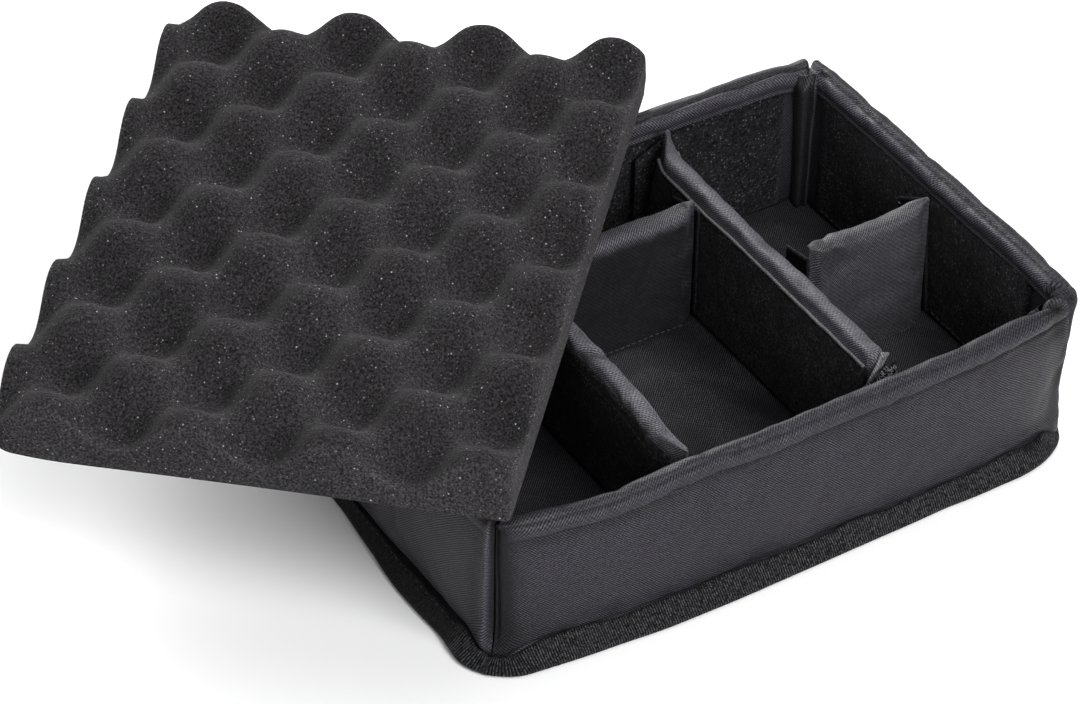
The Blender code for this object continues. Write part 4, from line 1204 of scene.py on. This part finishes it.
def build_base():
    def floor_top(x, y, rho):
        d = 0.55 * fbm(x / 26.0, y / 26.0, 71, 3) + 0.1 * noise(x / 7.0, y / 7.0, 72) - 0.5 * smooth(0.93, 1.0, rho)
        # dents and soft folds where the dividers press on it
        for cx, cy, wx, wy, h in ((-12, 22, 9, 5, -0.7), (-2, 18, 12, 4, 0.45), (-24, -6, 5, 16, 0.4), (80, -36, 12, 4, 0.5),
                                  (74, -30, 10, 3.5, -0.5), (96, -44, 9, 5, 0.4), (70, 20, 8, 12, 0.3), (-8, -40, 14, 6, 0.35)):
            d = d + 3.0 * h * bell((x - cx) / wx, 1.0) * bell((y - cy) / wy, 1.0)
        return d
    def floor_mottle_and_painted_shade(p):
        x, y = p[:, 0], p[:, 1]
        # random mottling of the cloth, plus painted shadow beside the right divider and a painted patch of light at the
        # left rear
        k = 0.55 * fbm(x / 19.0, y / 25.0, 74, 3) + 0.35 * noise((x + 0.8 * y) / 5.5, (y - x) / 19.0, 76)
        k = k - 0.9 * bell((x + 22.0) / 15.0, 1.0) * smooth(-55.0, 20.0, y) + 0.6 * bell((x - 30.0) / 13.0, 1.0)
        return np.clip(k, -1.0, 1.0)

    ob = disc("floor_cloth", 1.9, 7.0, 6.15, LINING, lambda p: p[:, :2], floor_top, rings=40,
              shade_fn=floor_mottle_and_painted_shade)
    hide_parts("floor_lining")

    def under(x, y, rho):
        return 0.55 * smooth(0.90, 1.0, rho) ** 2 + 0.12 * (1 + fbm(x / 22.0, y / 22.0, 73, 2)) * smooth(0.2, 0.9, rho)
    ob = disc("underside_cloth", 1.0, 1.0, 0.05, UNDER, lambda p: p[:, :2], None, under)
    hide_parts("base_bottom_cover")
    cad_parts["base_foam"].data.materials.clear()
    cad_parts["base_foam"].data.materials.append(BOARD)

    # binding tape: a folded band, its slot open towards the wall
    segs = []
    for w in ("front", "right", "rear", "left"):
        run = wall_run(w)
        nn = int(2 * run / (1.2))
        segs += [(w, x) for x in np.linspace(-run, run, nn + 1)[:-1]]
    top = [(0.35, 8.5), (1.4, 7.85), (2.6, 6.95), (3.8, 6.0), (5.0, 5.0), (6.2, 4.0), (7.0, 3.2)]
    tip = [(7.0 + 1.2 * math.sin(q), 1.8 + 1.35 * math.cos(q)) for q in np.linspace(0.35, 2.6, 6)]
    under_leg = [(6.6, 0.28), (5.0, 0.95), (3.2, 2.35), (1.6, 3.7), (0.35, 4.8)]
    slot_in = [(0.4, 5.8), (2.2, 4.45), (4.2, 2.85), (5.9, 1.9), (6.1, 2.5), (4.2, 4.0), (2.2, 5.65), (0.4, 7.35)]
    path = top + tip + under_leg + slot_in
    wave_w = [1.0, 0.8, 0.55, 0.35, 0.2, 0.1, 0.0] + [0.0] * 6 + [0.0] * 5 + [0, 0, 0, 0, 0, 0.2, 0.5, 0.9]
    cl = np.concatenate([[0], np.cumsum([math.dist(path[i], path[i + 1]) for i in range(len(path) - 1)])])
    reach = np.array([float(tape_reach(w, x)) for w, x in segs])
    reach = (np.roll(reach, 1) + 2 * reach + np.roll(reach, -1)) / 4
    mid = np.array([wall_xyz(w, x, -4.0 * k, 0.0) for (w, x), k in zip(segs, reach)])
    s = np.concatenate([[0], np.cumsum(np.linalg.norm(np.diff(mid, axis=0), axis=1))])
    wav = 0.75 * noise(s / 17.0, 0 * s, 81) + 0.35 * noise(s / 6.5, 0 * s, 82)
    out_w = 0.5 * noise(s / 13.0, 0 * s + 9, 83)
    low_w = 0.18 * noise(s / 21.0, 0 * s, 84)
    S = np.zeros((len(segs), len(path), 3))
    press = np.array([1.0 - float(foot_fall(w, np.array(x))) / 6.7 for w, x in segs])
    tuck = np.array([3.6 * float(bell(x - 105.5, 4.0)) if w == "front" else
                     (2.2 * float(bell(x - 64.0, 4.0)) if w == "left" else 0.0) for w, x in segs])
    for j, (o, zz) in enumerate(path):
        oo = o * reach + wave_w[j] * out_w * 0.8 + (0.35 * noise(s / 30.0, 0 * s, 85) if 5 <= j <= 13 else 0.0)
        hz = zz + wave_w[j] * wav + (low_w if 6 <= j <= 11 else 0.0) + 0.0 * s
        for i, (w, x) in enumerate(segs):
            S[i, j] = wall_xyz(w, x, -oo[i], 7.0)
            S[i, j, 2] = 1.8 + (hz[i] - 1.8) * press[i] - tuck[i] * (j < 3) * (1 - 0.33 * j) if hz[i] > 1.8 else hz[i]
    S[..., 2] = np.maximum(S[..., 2], 0.05)
    cloth = np.stack(np.meshgrid(s, cl, indexing="ij"), -1)
    # painted shade in the slot, at the tucks and along the tape's top edge under the wall
    shade = np.zeros((len(segs), len(path)))
    shade[:, len(top) + 6 + 5:] = 0.8
    shade[:, :3] += np.clip(0.5 * tuck, 0, 0.95)[:, None] * np.array([1.0, 0.9, 0.5])
    shade[:, 0] = np.maximum(shade[:, 0], 0.45)
    # the tape along the left wall darkened except at its front end: painted shade
    left_tape_painted_shade = np.array([float(smooth(74.0, 64.0, x)) if w == "left" else 0.0 for w, x in segs])
    shade = np.maximum(shade, 0.75 * left_tape_painted_shade[:, None])
    faces = loft_faces(len(segs), len(path), ring=True)
    ob = make("base_tape", S.reshape(-1, 3), faces, TAPE, cloth.reshape(-1, 2), shade.ravel(), "tray")
    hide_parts("base_binding_tape")
    # the seam that holds the tape, sunk between its ribs
    pth = S[:, 2] * 0.5 + S[:, 1] * 0.5
    nrm = np.cross(np.roll(S[:, 1], -1, 0) - np.roll(S[:, 1], 1, 0), S[:, 3] - S[:, 1])
    nrm /= np.linalg.norm(nrm, axis=1, keepdims=True)
    if nrm[:, 2].mean() < 0:
        nrm = -nrm
    parts = stitch_parts(pth, nrm, 3.6, 1.5, 0.42, lift=-0.05)
    joined("tape_stitching", parts, THREAD, "tray", 0.0)


# ---------------------------------------------------------------------------
# Dividers
# ---------------------------------------------------------------------------
def build_board(name, body, axis, across, a0, a1, half_t, foot, top, mat, seed, relief, half_fn, top_fn,
                shift_fn=None, step=1.4, replaces=(), hem=None, free=11.0, slack=0.009, puff=1.5,
                painted_top_light=0.0):
    """A padded board in a nylon sleeve. relief(a, w, z, side) lifts the cloth, half_fn(a) and
    top_fn(a) give its half thickness and height along its run, shift_fn(a, z) moves it sideways."""
    n = max(12, int((a1 - a0) / (step * 1.0)))
    a = np.linspace(a0, a1, n + 1)
    e = np.array([0.25, 0.6, 1.2, 2.0, 3.0, 4.2])
    a = np.unique(np.round(np.concatenate([a, a0 + e, a1 - e]), 3))
    wall_n, dome_n = 34, 15
    up = np.linspace(0, 1, wall_n)
    th = np.linspace(0, math.pi, dome_n)
    rows = []
    for x in a:
        h, t = half_fn(x), top_fn(x)
        h0 = max(h, 0.2)
        rise = min(h0, half_t)
        zs = foot + (t - rise - foot) * up
        left = [(-h0, z) for z in zs]
        dome = [(-h0 * math.copysign(abs(math.cos(q)) ** 0.72, math.cos(q)), t - rise + rise * math.sin(q) ** 0.72)
                for q in th[1:-1]]
        right = [(h0, z) for z in zs[::-1]]
        rows.append(left + dome + right)
    R = np.array(rows)
    m = R.shape[1]
    A = np.broadcast_to(a[:, None], R.shape[:2])
    W, Z = R[..., 0], R[..., 1]
    if axis == "Y":
        P = np.stack([across + W, A, Z], -1)
    else:
        P = np.stack([A, across - W, Z], -1)
    N = grid_normals(P, ring_v=False)
    j = wall_n // 2
    sgn = N[len(a) // 2, j] @ (np.array([-1.0, 0, 0]) if axis == "Y" else np.array([0, 1.0, 0]))
    if sgn < 0:
        N = -N
    cl = np.concatenate([[0], np.cumsum(np.linalg.norm(np.diff(R[len(a) // 2], axis=0), axis=1))])
    C = np.broadcast_to(cl[None], A.shape)
    side = np.clip(W / max(half_t, 0.1), -1, 1)
    D = relief(A, C, Z, side)
    P = P + N * D[..., None]
    hold = np.maximum(smooth(free + 0.8, free - 0.8, Z), np.maximum(smooth(1.2, 0.2, A - a0), smooth(1.2, 0.2, a1 - A)))
    moved = settle(P, N, hold, slack, high=puff, low=-0.6)
    D = D + 0.5 * moved
    P = P + N * moved[..., None]
    if shift_fn is not None:
        sh = shift_fn(A, Z)
        P[..., 0 if axis == "Y" else 1] += sh
    cloth = np.stack([A, C], -1)
    # painted shade in the creases, painted highlight on the raised cloth of the top, on the hem and, by the given
    # amount, over the whole top
    shade = np.clip(-D * 0.8, 0, 1) - 0.35 * np.clip(D / 0.8, 0, 1) * (np.abs(side) < 0.98)
    if hem is not None:
        shade = shade - 0.8 * bell(Z - hem(side, A), 0.8) * (np.abs(side) > 0.97)
    shade = np.clip(shade - painted_top_light * smooth(top - 5.5, top - 2.5, Z + 0.8 * D), -1, 1)
    faces = loft_faces(len(a), m)
    ob = make(name, P.reshape(-1, 3), faces, mat, cloth.reshape(-1, 2), shade.ravel(), body, auto=65)
    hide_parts(*replaces)
    return a, R, P, N, ob


def flat_panel(name, body, axis, across, face, a0, a1, z0, z1, thick, mat, seed, rough=0.28, step=1.8,
               replaces=(), lean=None, dip=None):
    """A thin pile panel on one face of a divider. face is the outward sign along the other axis."""
    na, nz = max(4, int((a1 - a0) / step)), max(4, int((z1 - z0) / step))
    A, Z = np.meshgrid(np.linspace(a0, a1, na), np.linspace(z0, z1, nz), indexing="ij")
    edge = np.minimum(np.minimum(A - a0, a1 - A), np.minimum(Z - z0, z1 - Z))
    puff = smooth(0.0, 1.6, edge)
    bumps = rough * (noise(A / 2.1, Z / 2.1, 61 + seed) + 0.6 * fbm(A / 11.0, Z / 11.0, 62 + seed, 2))
    if dip is not None:
        Z = Z + dip(A) * (Z - z0) / (z1 - z0)
    f = across + face * (thick - 0.4 * (1 - puff) + bumps * puff)
    b = across * np.ones_like(A)
    if lean is not None:
        f, b = f + lean(A, Z), b + lean(A, Z)
    if axis == "Y":
        front, back = np.stack([f, A, Z], -1), np.stack([b, A, Z], -1)
    else:
        front, back = np.stack([A, f, Z], -1), np.stack([A, b, Z], -1)
    # painted shade towards the panel's edges
    ob = plate_mesh(name, front, back, mat, np.stack([A, Z], -1), body, 0.8 * (1 - puff))
    if replaces:
        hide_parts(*replaces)
    return ob


def quad_patch(name, body, corners, thick, mat, seed, cell=1.2, rough=0.12, replaces=(), bow=0.0,
               cloth_off=(0, 0)):
    """A thin closed plate between four corners (bottom a, bottom b, top b, top a)."""
    c = [np.array(p, float) for p in corners]
    wide = max(np.linalg.norm(c[1] - c[0]), np.linalg.norm(c[2] - c[3]))
    tall = max(np.linalg.norm(c[3] - c[0]), np.linalg.norm(c[2] - c[1]))
    nu, nv = max(4, int(wide / cell) + 1), max(4, int(tall / cell) + 1)
    u, v = np.meshgrid(np.linspace(0, 1, nu), np.linspace(0, 1, nv), indexing="ij")
    P = ((1 - u) * (1 - v))[..., None] * c[0] + (u * (1 - v))[..., None] * c[1] \
        + (u * v)[..., None] * c[2] + ((1 - u) * v)[..., None] * c[3]
    nrm = np.cross(c[1] - c[0], c[3] - c[0])
    nrm /= np.linalg.norm(nrm)
    edge = np.minimum(np.minimum(u, 1 - u) * wide, np.minimum(v, 1 - v) * tall)
    puff = smooth(0.0, 1.0, edge)
    b = rough * noise(u * wide / 1.7, v * tall / 1.7, 91 + seed) + 0.5 * rough * noise(u * wide / 6, v * tall / 6, 92 + seed)
    arch = bow * (1 - (2 * u - 1) ** 2)
    F = P + nrm * (thick / 2 * (0.55 + 0.45 * puff) + b * puff + arch)[..., None]
    B = P + nrm * (-thick / 2 * (0.55 + 0.45 * puff) + arch)[..., None]
    cloth = np.stack([u * wide + cloth_off[0], v * tall + cloth_off[1]], -1)
    # painted highlight along the patch's edges, painted shade over the rest
    ob = plate_mesh(name, F, B, mat, cloth, body, 0.35 - 1.2 * bell(edge - 0.5, 0.7))
    if replaces:
        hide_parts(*replaces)
    return ob


def end_close(a, a0, a1, reach0, reach1, least0=0.12, least1=0.12):
    """1 in the run, closing towards the ends."""
    return (least0 + (1 - least0) * smooth(0, reach0, a - a0)) * (least1 + (1 - least1) * smooth(0, reach1, a1 - a))


def long_dividers():
    for side in ("right", "left"):
        x = LONG_X[side]
        body = side + "_divider"
        seed = 5 if side == "right" else 6
        y0, y1 = LONG_Y0, LONG_Y1

        def dip(a, side=side):
            """The left divider sinks towards its front end."""
            return (-7.0 if side == "left" else 0.0) * smooth(y0 + 34.0, y0, a) ** 1.3

        def half_fn(a, side=side):
            if side == "right":
                k = end_close(a, y0, y1, 5.0, 15.0, 0.45, 0.22)
            else:
                k = end_close(a, y0, y1, 17.0, 7.0, 0.14, 0.5)
            return 3.75 * float(k)

        def top_fn(a, side=side):
            if side == "right":
                return LONG_TOP + 0.3 * float(noise(a / 30.0, 0.0, 101)) - 9.0 * float(smooth(y0 + 5.0, y0 - 0.5, a)) ** 1.6 \
                    + 2.4 * float(smooth(y1 - 10, y1, a))
            return LONG_TOP - 1.2 + 0.7 * float(noise(a / 15.0, 0.0, 102)) + float(dip(a))

        def relief(A, C, Z, S, side=side, seed=seed):
            top = np.abs(S) < 0.985
            d = 0.34 * fbm(A / 21.0, C / 15.0, 110 + seed, 3)
            d = d + 0.26 * noise(A / 6.0, C / 9.0, 112 + seed) * smooth(50, 62, Z)
            if side == "left":
                fold = bell((A + 22.0) + 0.9 * (C - C.mean()), 2.2) * smooth(58, 63, Z)
                d = d - 0.55 * fold + 0.4 * bell((A + 17.5) + 0.9 * (C - C.mean()), 3.0) * smooth(58, 63, Z)
                d = d + 0.40 * noise(A / 5.2 + C / 8.0, C / 12.0, 118) * smooth(56, 62, Z) * bell(A + 26.0, 36.0)
                d = d - 0.45 * bell((A + 46.0) - 0.8 * (C - C.mean()), 1.8) * smooth(58, 63, Z)
                d = d + 0.5 * noise(A / 3.2, Z / 14.0, 119) * smooth(48, 54, Z) * smooth(66, 60, Z) * bell(A + 62.0, 16.0)
            d = d + 0.55 * noise(A / 2.6, C / 5.0, 115 + seed) * (bell(A - y0, 6.0) + bell(A - y1, 6.0)) * smooth(30, 60, Z)
            # hem over the loop faces
            hz = np.where((S < 0) & (side == "left"), 62.2, 60.3) + dip(A)
            d = d + 0.62 * bell(Z - hz, 0.75) * (~top) - 0.3 * bell(Z - hz + 2.0, 0.8) * (~top)
            return d

        shift = None
        if side == "left":
            shift = lambda A, Z: 0.6 * bell(A - y0, 9.0) - (2.9 + 0.4 * np.sin((A - y0) / 19.0)) \
                * smooth(y0 - 4.0, y0 + 18.0, A) * smooth(y1, y1 - 30.0, A) * smooth(16.0, 60.0, Z)
        else:
            shift = lambda A, Z: 5.2 * smooth(y1 - 17.0, y1, A) ** 1.4 * smooth(30.0, 66.0, Z)
        a, R, P, N, ob = build_board(
            body + "_sleeve", body, "Y", x, y0, y1, 3.75, FOOT + 0.3, LONG_TOP, NYLON_TOP_PAINTED_LIGHT if side == "right" else NYLON_L_PAINTED_LIGHT, seed,
            relief, half_fn, top_fn, shift, replaces=(body + "_cover", body + "_foam"),
            hem=lambda S, A, side=side: np.where((S < 0) & (side == "left"), 62.2, 60.3) + dip(A), free=61.0, slack=0.009 if side == "left" else 0.006, puff=0.6 if side == "left" else 0.4)
        for word, f in (("left", -1), ("right", 1)):
            top = 59.6 if side == "right" else (61.4 if f < 0 else 59.6)
            ob2 = flat_panel(body + "_" + word + "_loop", body, "Y", x + f * 3.55, f, y0 + 3.5, y1 - 3.5, FOOT + 1.0,
                             top, 1.15, LOOP, 120 + seed + (f > 0),
                             replaces=(body + "_" + word + "_loop_face",), dip=dip,
                             lean=shift)
            yy = np.arange(y0 + 5.0, y1 - 5.0, 0.5)
            zz = np.full(len(yy), top - (1.6 if side == "right" or f > 0 else 5.2)) + 0.25 * noise(yy / 15.0, 0 * yy, 160 + seed) + dip(yy)
            line = np.stack([np.full(len(yy), x + f * 4.72) + shift(yy, zz), yy, zz], 1)
            parts = stitch_parts(line, np.tile([float(f), 0.0, 0.0], (len(yy), 1)), 3.2, 2.5, 0.26, lift=0.05)
            if side == "right" or f > 0:
                # a welt along the loop's top edge, its lighter nylon a painted highlight
                zw = np.full(len(yy), top + 0.55) + 0.3 * noise(yy / 17.0, 0 * yy, 180 + seed) + dip(yy)
                xw = np.full(len(yy), x + f * 4.35) + 0.18 * noise(yy / 5.0, 0 * yy, 181 + seed) + shift(yy, zw)
                parts_w = [tube("", np.stack([xw, yy, zw], 1), 0.72, None, None, None, sides=8)]
                joined(body + "_" + word + "_welt", parts_w, HEM, body)
            if side == "left":
                joined(body + "_" + word + "_seam", parts, THREAD, body)
    # hook tabs
    # the turned front edge in the lighter hem nylon: painted highlight
    turned = quad_patch("right_divider_front_edge", "right_divider",
                        [(32.6, -81.6, 54.0), (36.2, -80.9, 53.0), (48.7, -75.6, 64.9), (45.4, -75.4, 66.3)],
                        1.0, HEM, 11, cell=0.9, rough=0.25)
    quad_patch("right_divider_front_hooks", "right_divider",
               [(49.3, -79.7, 14.0), (29.0, -84.0, 14.0), (28.6, -84.4, 60.5), (49.5, -78.6, 64.2)],
               1.3, HOOK, 1, rough=0.3, replaces=("right_divider_front_hook_tab",))
    quad_patch("right_divider_rear_hooks", "right_divider",
               [(51.5, 75.6, 12.0), (36.8, 75.6, 12.0), (36.6, 75.6, 57.6), (52.4, 75.8, 64.8)],
               1.2, LOOP, 2, rough=0.2, replaces=("right_divider_rear_hook_tab",))
    quad_patch("left_divider_front_hooks", "left_divider",
               [(-30.0, -79.2, 12.0), (-52.0, -79.2, 12.0), (-52.0, -79.2, 49.0), (-30.0, -79.2, 49.0)],
               1.1, HOOK, 3, rough=0.2, replaces=("left_divider_front_hook_tab",))
    quad_patch("left_divider_rear_hooks", "left_divider",
               [(-30.0, 75.5, 12.0), (-52.0, 75.5, 12.0), (-52.0, 75.5, 60.0), (-30.0, 75.5, 60.0)],
               1.2, HOOK, 4, rough=0.2, replaces=("left_divider_rear_hook_tab",))


def cross_dividers():
    # right: between the right long divider and the right wall
    y, x0, x1 = -8.0, 59.2, 114.0

    def half_r(a):
        return 4.1 * float(end_close(a, x0, x1, 5.0, 8.0, 0.35, 0.25))

    def top_r(a):
        return CROSS_TOP + 0.5 * float(noise(a / 17.0, 0.0, 130)) + 1.6 * float(smooth(x1 - 16, x1, a)) \
            - 0.5 * float(bell(a - 80, 16))

    def relief_r(A, C, Z, S):
        d = 0.55 * fbm(A / 19.0, C / 17.0, 131, 3)
        # pulls that run down from the upper corner at the left
        for a0, lean, deep in ((70.0, 0.30, 0.7), (77.5, 0.42, 0.55), (88.0, 0.55, 0.5), (99.0, -0.25, 0.45)):
            line = A - a0 - lean * (62.0 - Z)
            d = d + deep * (bell(line, 2.2) - 0.8 * bell(line - 3.4, 1.8)) * smooth(12, 30, Z) * smooth(66, 56, Z) * (S < 0)
        d = d + 0.30 * noise(A / 4.0, C / 6.0, 132) * (bell(A - x0, 10.0) + bell(A - x1, 10.0)) * smooth(35, 60, Z)
        d = d - 0.8 * bell((A - 68.0) + 0.5 * (Z - 62.0), 1.8) * smooth(57, 62, Z)
        d = d + 0.55 * bell((A - 72.5) + 0.5 * (Z - 62.0), 2.6) * smooth(55, 61, Z)
        d = d - 0.5 * bell(Z - 9.2, 0.7)
        return d

    build_board("right_cross_sleeve", "right_cross_divider", "X", y, x0, x1, 4.1, FOOT + 0.3, CROSS_TOP, NYLON_R_PAINTED_LIGHT,
                7, relief_r, half_r, top_r,
                replaces=("right_cross_divider_cover", "right_cross_divider_foam"))
    quad_patch("right_cross_left_hooks", "right_cross_divider",
               [(58.2, -12.0, 12.0), (58.2, 3.5, 12.0), (57.6, 3.2, 57.6), (58.4, -10.5, 59.6)],
               1.3, HOOK, 5, rough=0.2, replaces=("right_cross_divider_left_hook_tab",))
    quad_patch("right_cross_right_hooks", "right_cross_divider",
               [(115.0, -12.0, 12.0), (115.0, 11.6, 12.0), (115.0, 11.8, 52.8), (115.0, -6.0, 63.5)],
               1.2, HOOK, 6, rough=0.25, replaces=("right_cross_divider_right_hook_tab",))
    # rear: between the two long dividers
    yb, b0, b1 = 35.7, -32.6, 36.6

    def half_b(a):
        return 4.1 * float(end_close(a, b0, b1, 6.0, 7.0, 0.4, 0.3))

    def top_b(a):
        return CROSS_TOP - 0.6 + 0.5 * float(noise(a / 21.0, 0.0, 140)) + 1.8 * float(smooth(b1 - 14, b1, a))

    def relief_b(A, C, Z, S):
        d = 0.62 * fbm(A / 22.0, C / 18.0, 141, 3)
        for a0, lean, deep in ((-4.0, 0.25, 0.45), (16.0, -0.35, 0.5)):
            line = A - a0 - lean * (62.0 - Z)
            d = d + deep * (bell(line, 2.4) - 0.8 * bell(line - 3.6, 2.0)) * smooth(12, 30, Z) * smooth(66, 56, Z)
        d = d + 0.35 * noise(A / 4.0, C / 6.0, 142) * (bell(A - b0, 9.0) + bell(A - b1, 9.0)) * smooth(35, 60, Z)
        d = d - 0.4 * bell(Z - 9.2, 0.7)
        return d

    build_board("rear_cross_sleeve", "rear_cross_divider", "X", yb, b0, b1, 4.1, FOOT + 0.3, CROSS_TOP, NYLON_B_PAINTED_SHADE,
                8, relief_b, half_b, top_b, painted_top_light=1.0,
                replaces=("rear_cross_divider_cover", "rear_cross_divider_foam"))
    quad_patch("rear_cross_left_hooks", "rear_cross_divider",
               [(-33.6, 31.7, 12.0), (-33.6, 51.7, 12.0), (-33.6, 51.7, 58.0), (-33.6, 31.7, 60.0)],
               1.1, HOOK, 7, rough=0.2, replaces=("rear_cross_divider_left_hook_tab",))
    quad_patch("rear_cross_right_hooks", "rear_cross_divider",
               [(37.6, 31.7, 12.0), (37.6, 51.7, 12.0), (37.6, 51.0, 57.0), (37.6, 32.5, 62.0)],
               1.1, HOOK, 8, rough=0.2, replaces=("rear_cross_divider_right_hook_tab",))


def cross_hems():
    for body, y, x0, x1 in (("right_cross_divider", -8.0, 61.0, 112.0), ("rear_cross_divider", 35.7, -30.5, 34.5)):
        parts = []
        for f in (-1, 1):
            xx = np.arange(x0, x1, 0.5)
            line = np.stack([xx, np.full(len(xx), y + f * 3.75), 9.6 + 0.3 * noise(xx / 9.0, 0 * xx, 170)], 1)
            parts += stitch_parts(line, np.tile([0.0, float(f), 0.0], (len(xx), 1)), 2.6, 1.9, 0.5, lift=0.15)
        joined(body + "_lower_seam", parts, THREAD_LIGHT, body)


def hook_curls(name, body, corners, count, seed, size=0.55, depth=0.9):
    """Loose fibres and hooks standing off a patch of hook tape."""
    c = [np.array(p, float) for p in corners]
    n = np.cross(c[1] - c[0], c[3] - c[0])
    n /= np.linalg.norm(n)
    rng = np.random.default_rng(seed)
    parts = []
    for k in range(count):
        u, v = rng.random(2) * 0.94 + 0.03
        p = (1 - u) * (1 - v) * c[0] + u * (1 - v) * c[1] + u * v * c[2] + (1 - u) * v * c[3]
        e1 = rng.normal(size=3)
        e1 -= n * (e1 @ n)
        e1 /= np.linalg.norm(e1)
        r = size * (0.6 + 0.8 * rng.random())
        t = np.linspace(0, math.pi * (0.8 + 0.6 * rng.random()), 7)
        path = p + np.outer(r * (1 - np.cos(t)), e1) + np.outer(depth * (0.5 + 0.8 * rng.random()) * np.sin(t) - 0.15, n)
        parts.append(tube("", path, 0.17, None, None, None, sides=5))
    joined(name, parts, CURL, body)


def all_hooks():
    hook_curls("right_divider_front_curls", "right_divider",
               [(49.3, -79.9, 50.0), (32.0, -83.9, 50.0), (32.0, -84.0, 60.6), (49.5, -79.2, 63.8)][::-1], 190, 1, 0.75, 1.1)
    hook_curls("right_cross_right_curls", "right_cross_divider",
               [(114.3, -10.0, 30.0), (114.3, 10.6, 30.0), (114.3, 10.8, 52.0), (114.3, -6.0, 61.0)], 110, 2, 0.5, -0.6)


# ---------------------------------------------------------------------------
# Camera, light, floor
# ---------------------------------------------------------------------------
def build_stage():
    az, el, roll = math.radians(-32.387), math.radians(39.344), math.radians(1.327)
    back = Vector((math.sin(az) * math.cos(el), -math.cos(az) * math.cos(el), math.sin(el)))
    fwd = -back
    right = fwd.cross(Vector((0, 0, 1))).normalized()
    up = right.cross(fwd)
    x = math.cos(roll) * right + math.sin(roll) * up
    y = -math.sin(roll) * right + math.cos(roll) * up
    cam = bpy.data.cameras.new("camera")
    cam.sensor_fit = "HORIZONTAL"
    cam.sensor_width = 36.0
    cam.lens = 149.472
    cam.clip_start, cam.clip_end = 0.05, 50.0
    ob = bpy.data.objects.new("camera", cam)
    place = (Vector((-43.734, 13.952, 40.0)) + 1653.53 * back) * MM
    ob.matrix_world = Matrix.Translation(place) @ Matrix((x, y, back)).transposed().to_4x4()
    bpy.context.scene.collection.objects.link(ob)
    bpy.context.scene.camera = ob

    mesh = bpy.data.meshes.new("stage_floor")
    r = 6.0
    mesh.from_pydata([(-r, -r, -0.0002), (r, -r, -0.0002), (r, r, -0.0002), (-r, r, -0.0002)], [], [(0, 1, 2, 3)])
    mat = bpy.data.materials.new("stage_white")
    mat.use_nodes = True
    b = mat.node_tree.nodes["Principled BSDF"]
    b.inputs["Base Color"].default_value = (0.86, 0.86, 0.86, 1)
    b.inputs["Roughness"].default_value = 0.9
    b.inputs["Specular IOR Level"].default_value = 0.1
    mesh.materials.append(mat)
    floor = bpy.data.objects.new("stage_floor", mesh)
    bpy.context.scene.collection.objects.link(floor)

    world = bpy.data.worlds.new("studio")
    bpy.context.scene.world = world
    world.use_nodes = True
    bg = world.node_tree.nodes["Background"]
    bg.inputs["Color"].default_value = (0.98, 0.99, 1.0, 1)
    bg.inputs["Strength"].default_value = 0.02

    def softbox(name, azimuth, elevation, power, size=0.75, away=1.6):
        light = bpy.data.lights.new(name, "AREA")
        light.shape = "RECTANGLE"
        light.size = light.size_y = size
        light.energy = power
        a, e = math.radians(azimuth), math.radians(elevation)
        d = Vector((math.sin(a) * math.cos(e), -math.cos(a) * math.cos(e), math.sin(e)))
        o = bpy.data.objects.new(name, light)
        o.matrix_world = Matrix.Translation(d * away) @ (-d).to_track_quat("-Z", "Y").to_matrix().to_4x4()
        bpy.context.scene.collection.objects.link(o)
    softbox("left_low", -60, 18, 3.3)
    softbox("front_left", -8, 28, 7.2)
    softbox("front_high", 8, 42, 24.0)
    softbox("rear_low", 168, 28, 31.0)
    softbox("rear_low_left", 195, 28, 7.0)
    softbox("rear_right", 130, 40, 3.0)
    softbox("top_right", 90, 75, 6.0)
    softbox("top_left", 315, 60, 3.5)

    bpy.context.scene.view_settings.view_transform = "Standard"
    bpy.context.scene.view_settings.look = "None"


for w in WALLS:
    build_wall(w)
wall_stitches()
build_loops()
build_gussets()
build_base()
long_dividers()
cross_dividers()
cross_hems()
all_hooks()
build_pad()
for node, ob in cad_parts.items():
    if not ob.hide_render:
        ob.data.materials.clear()
        ob.data.materials.append(BOARD)
build_stage()
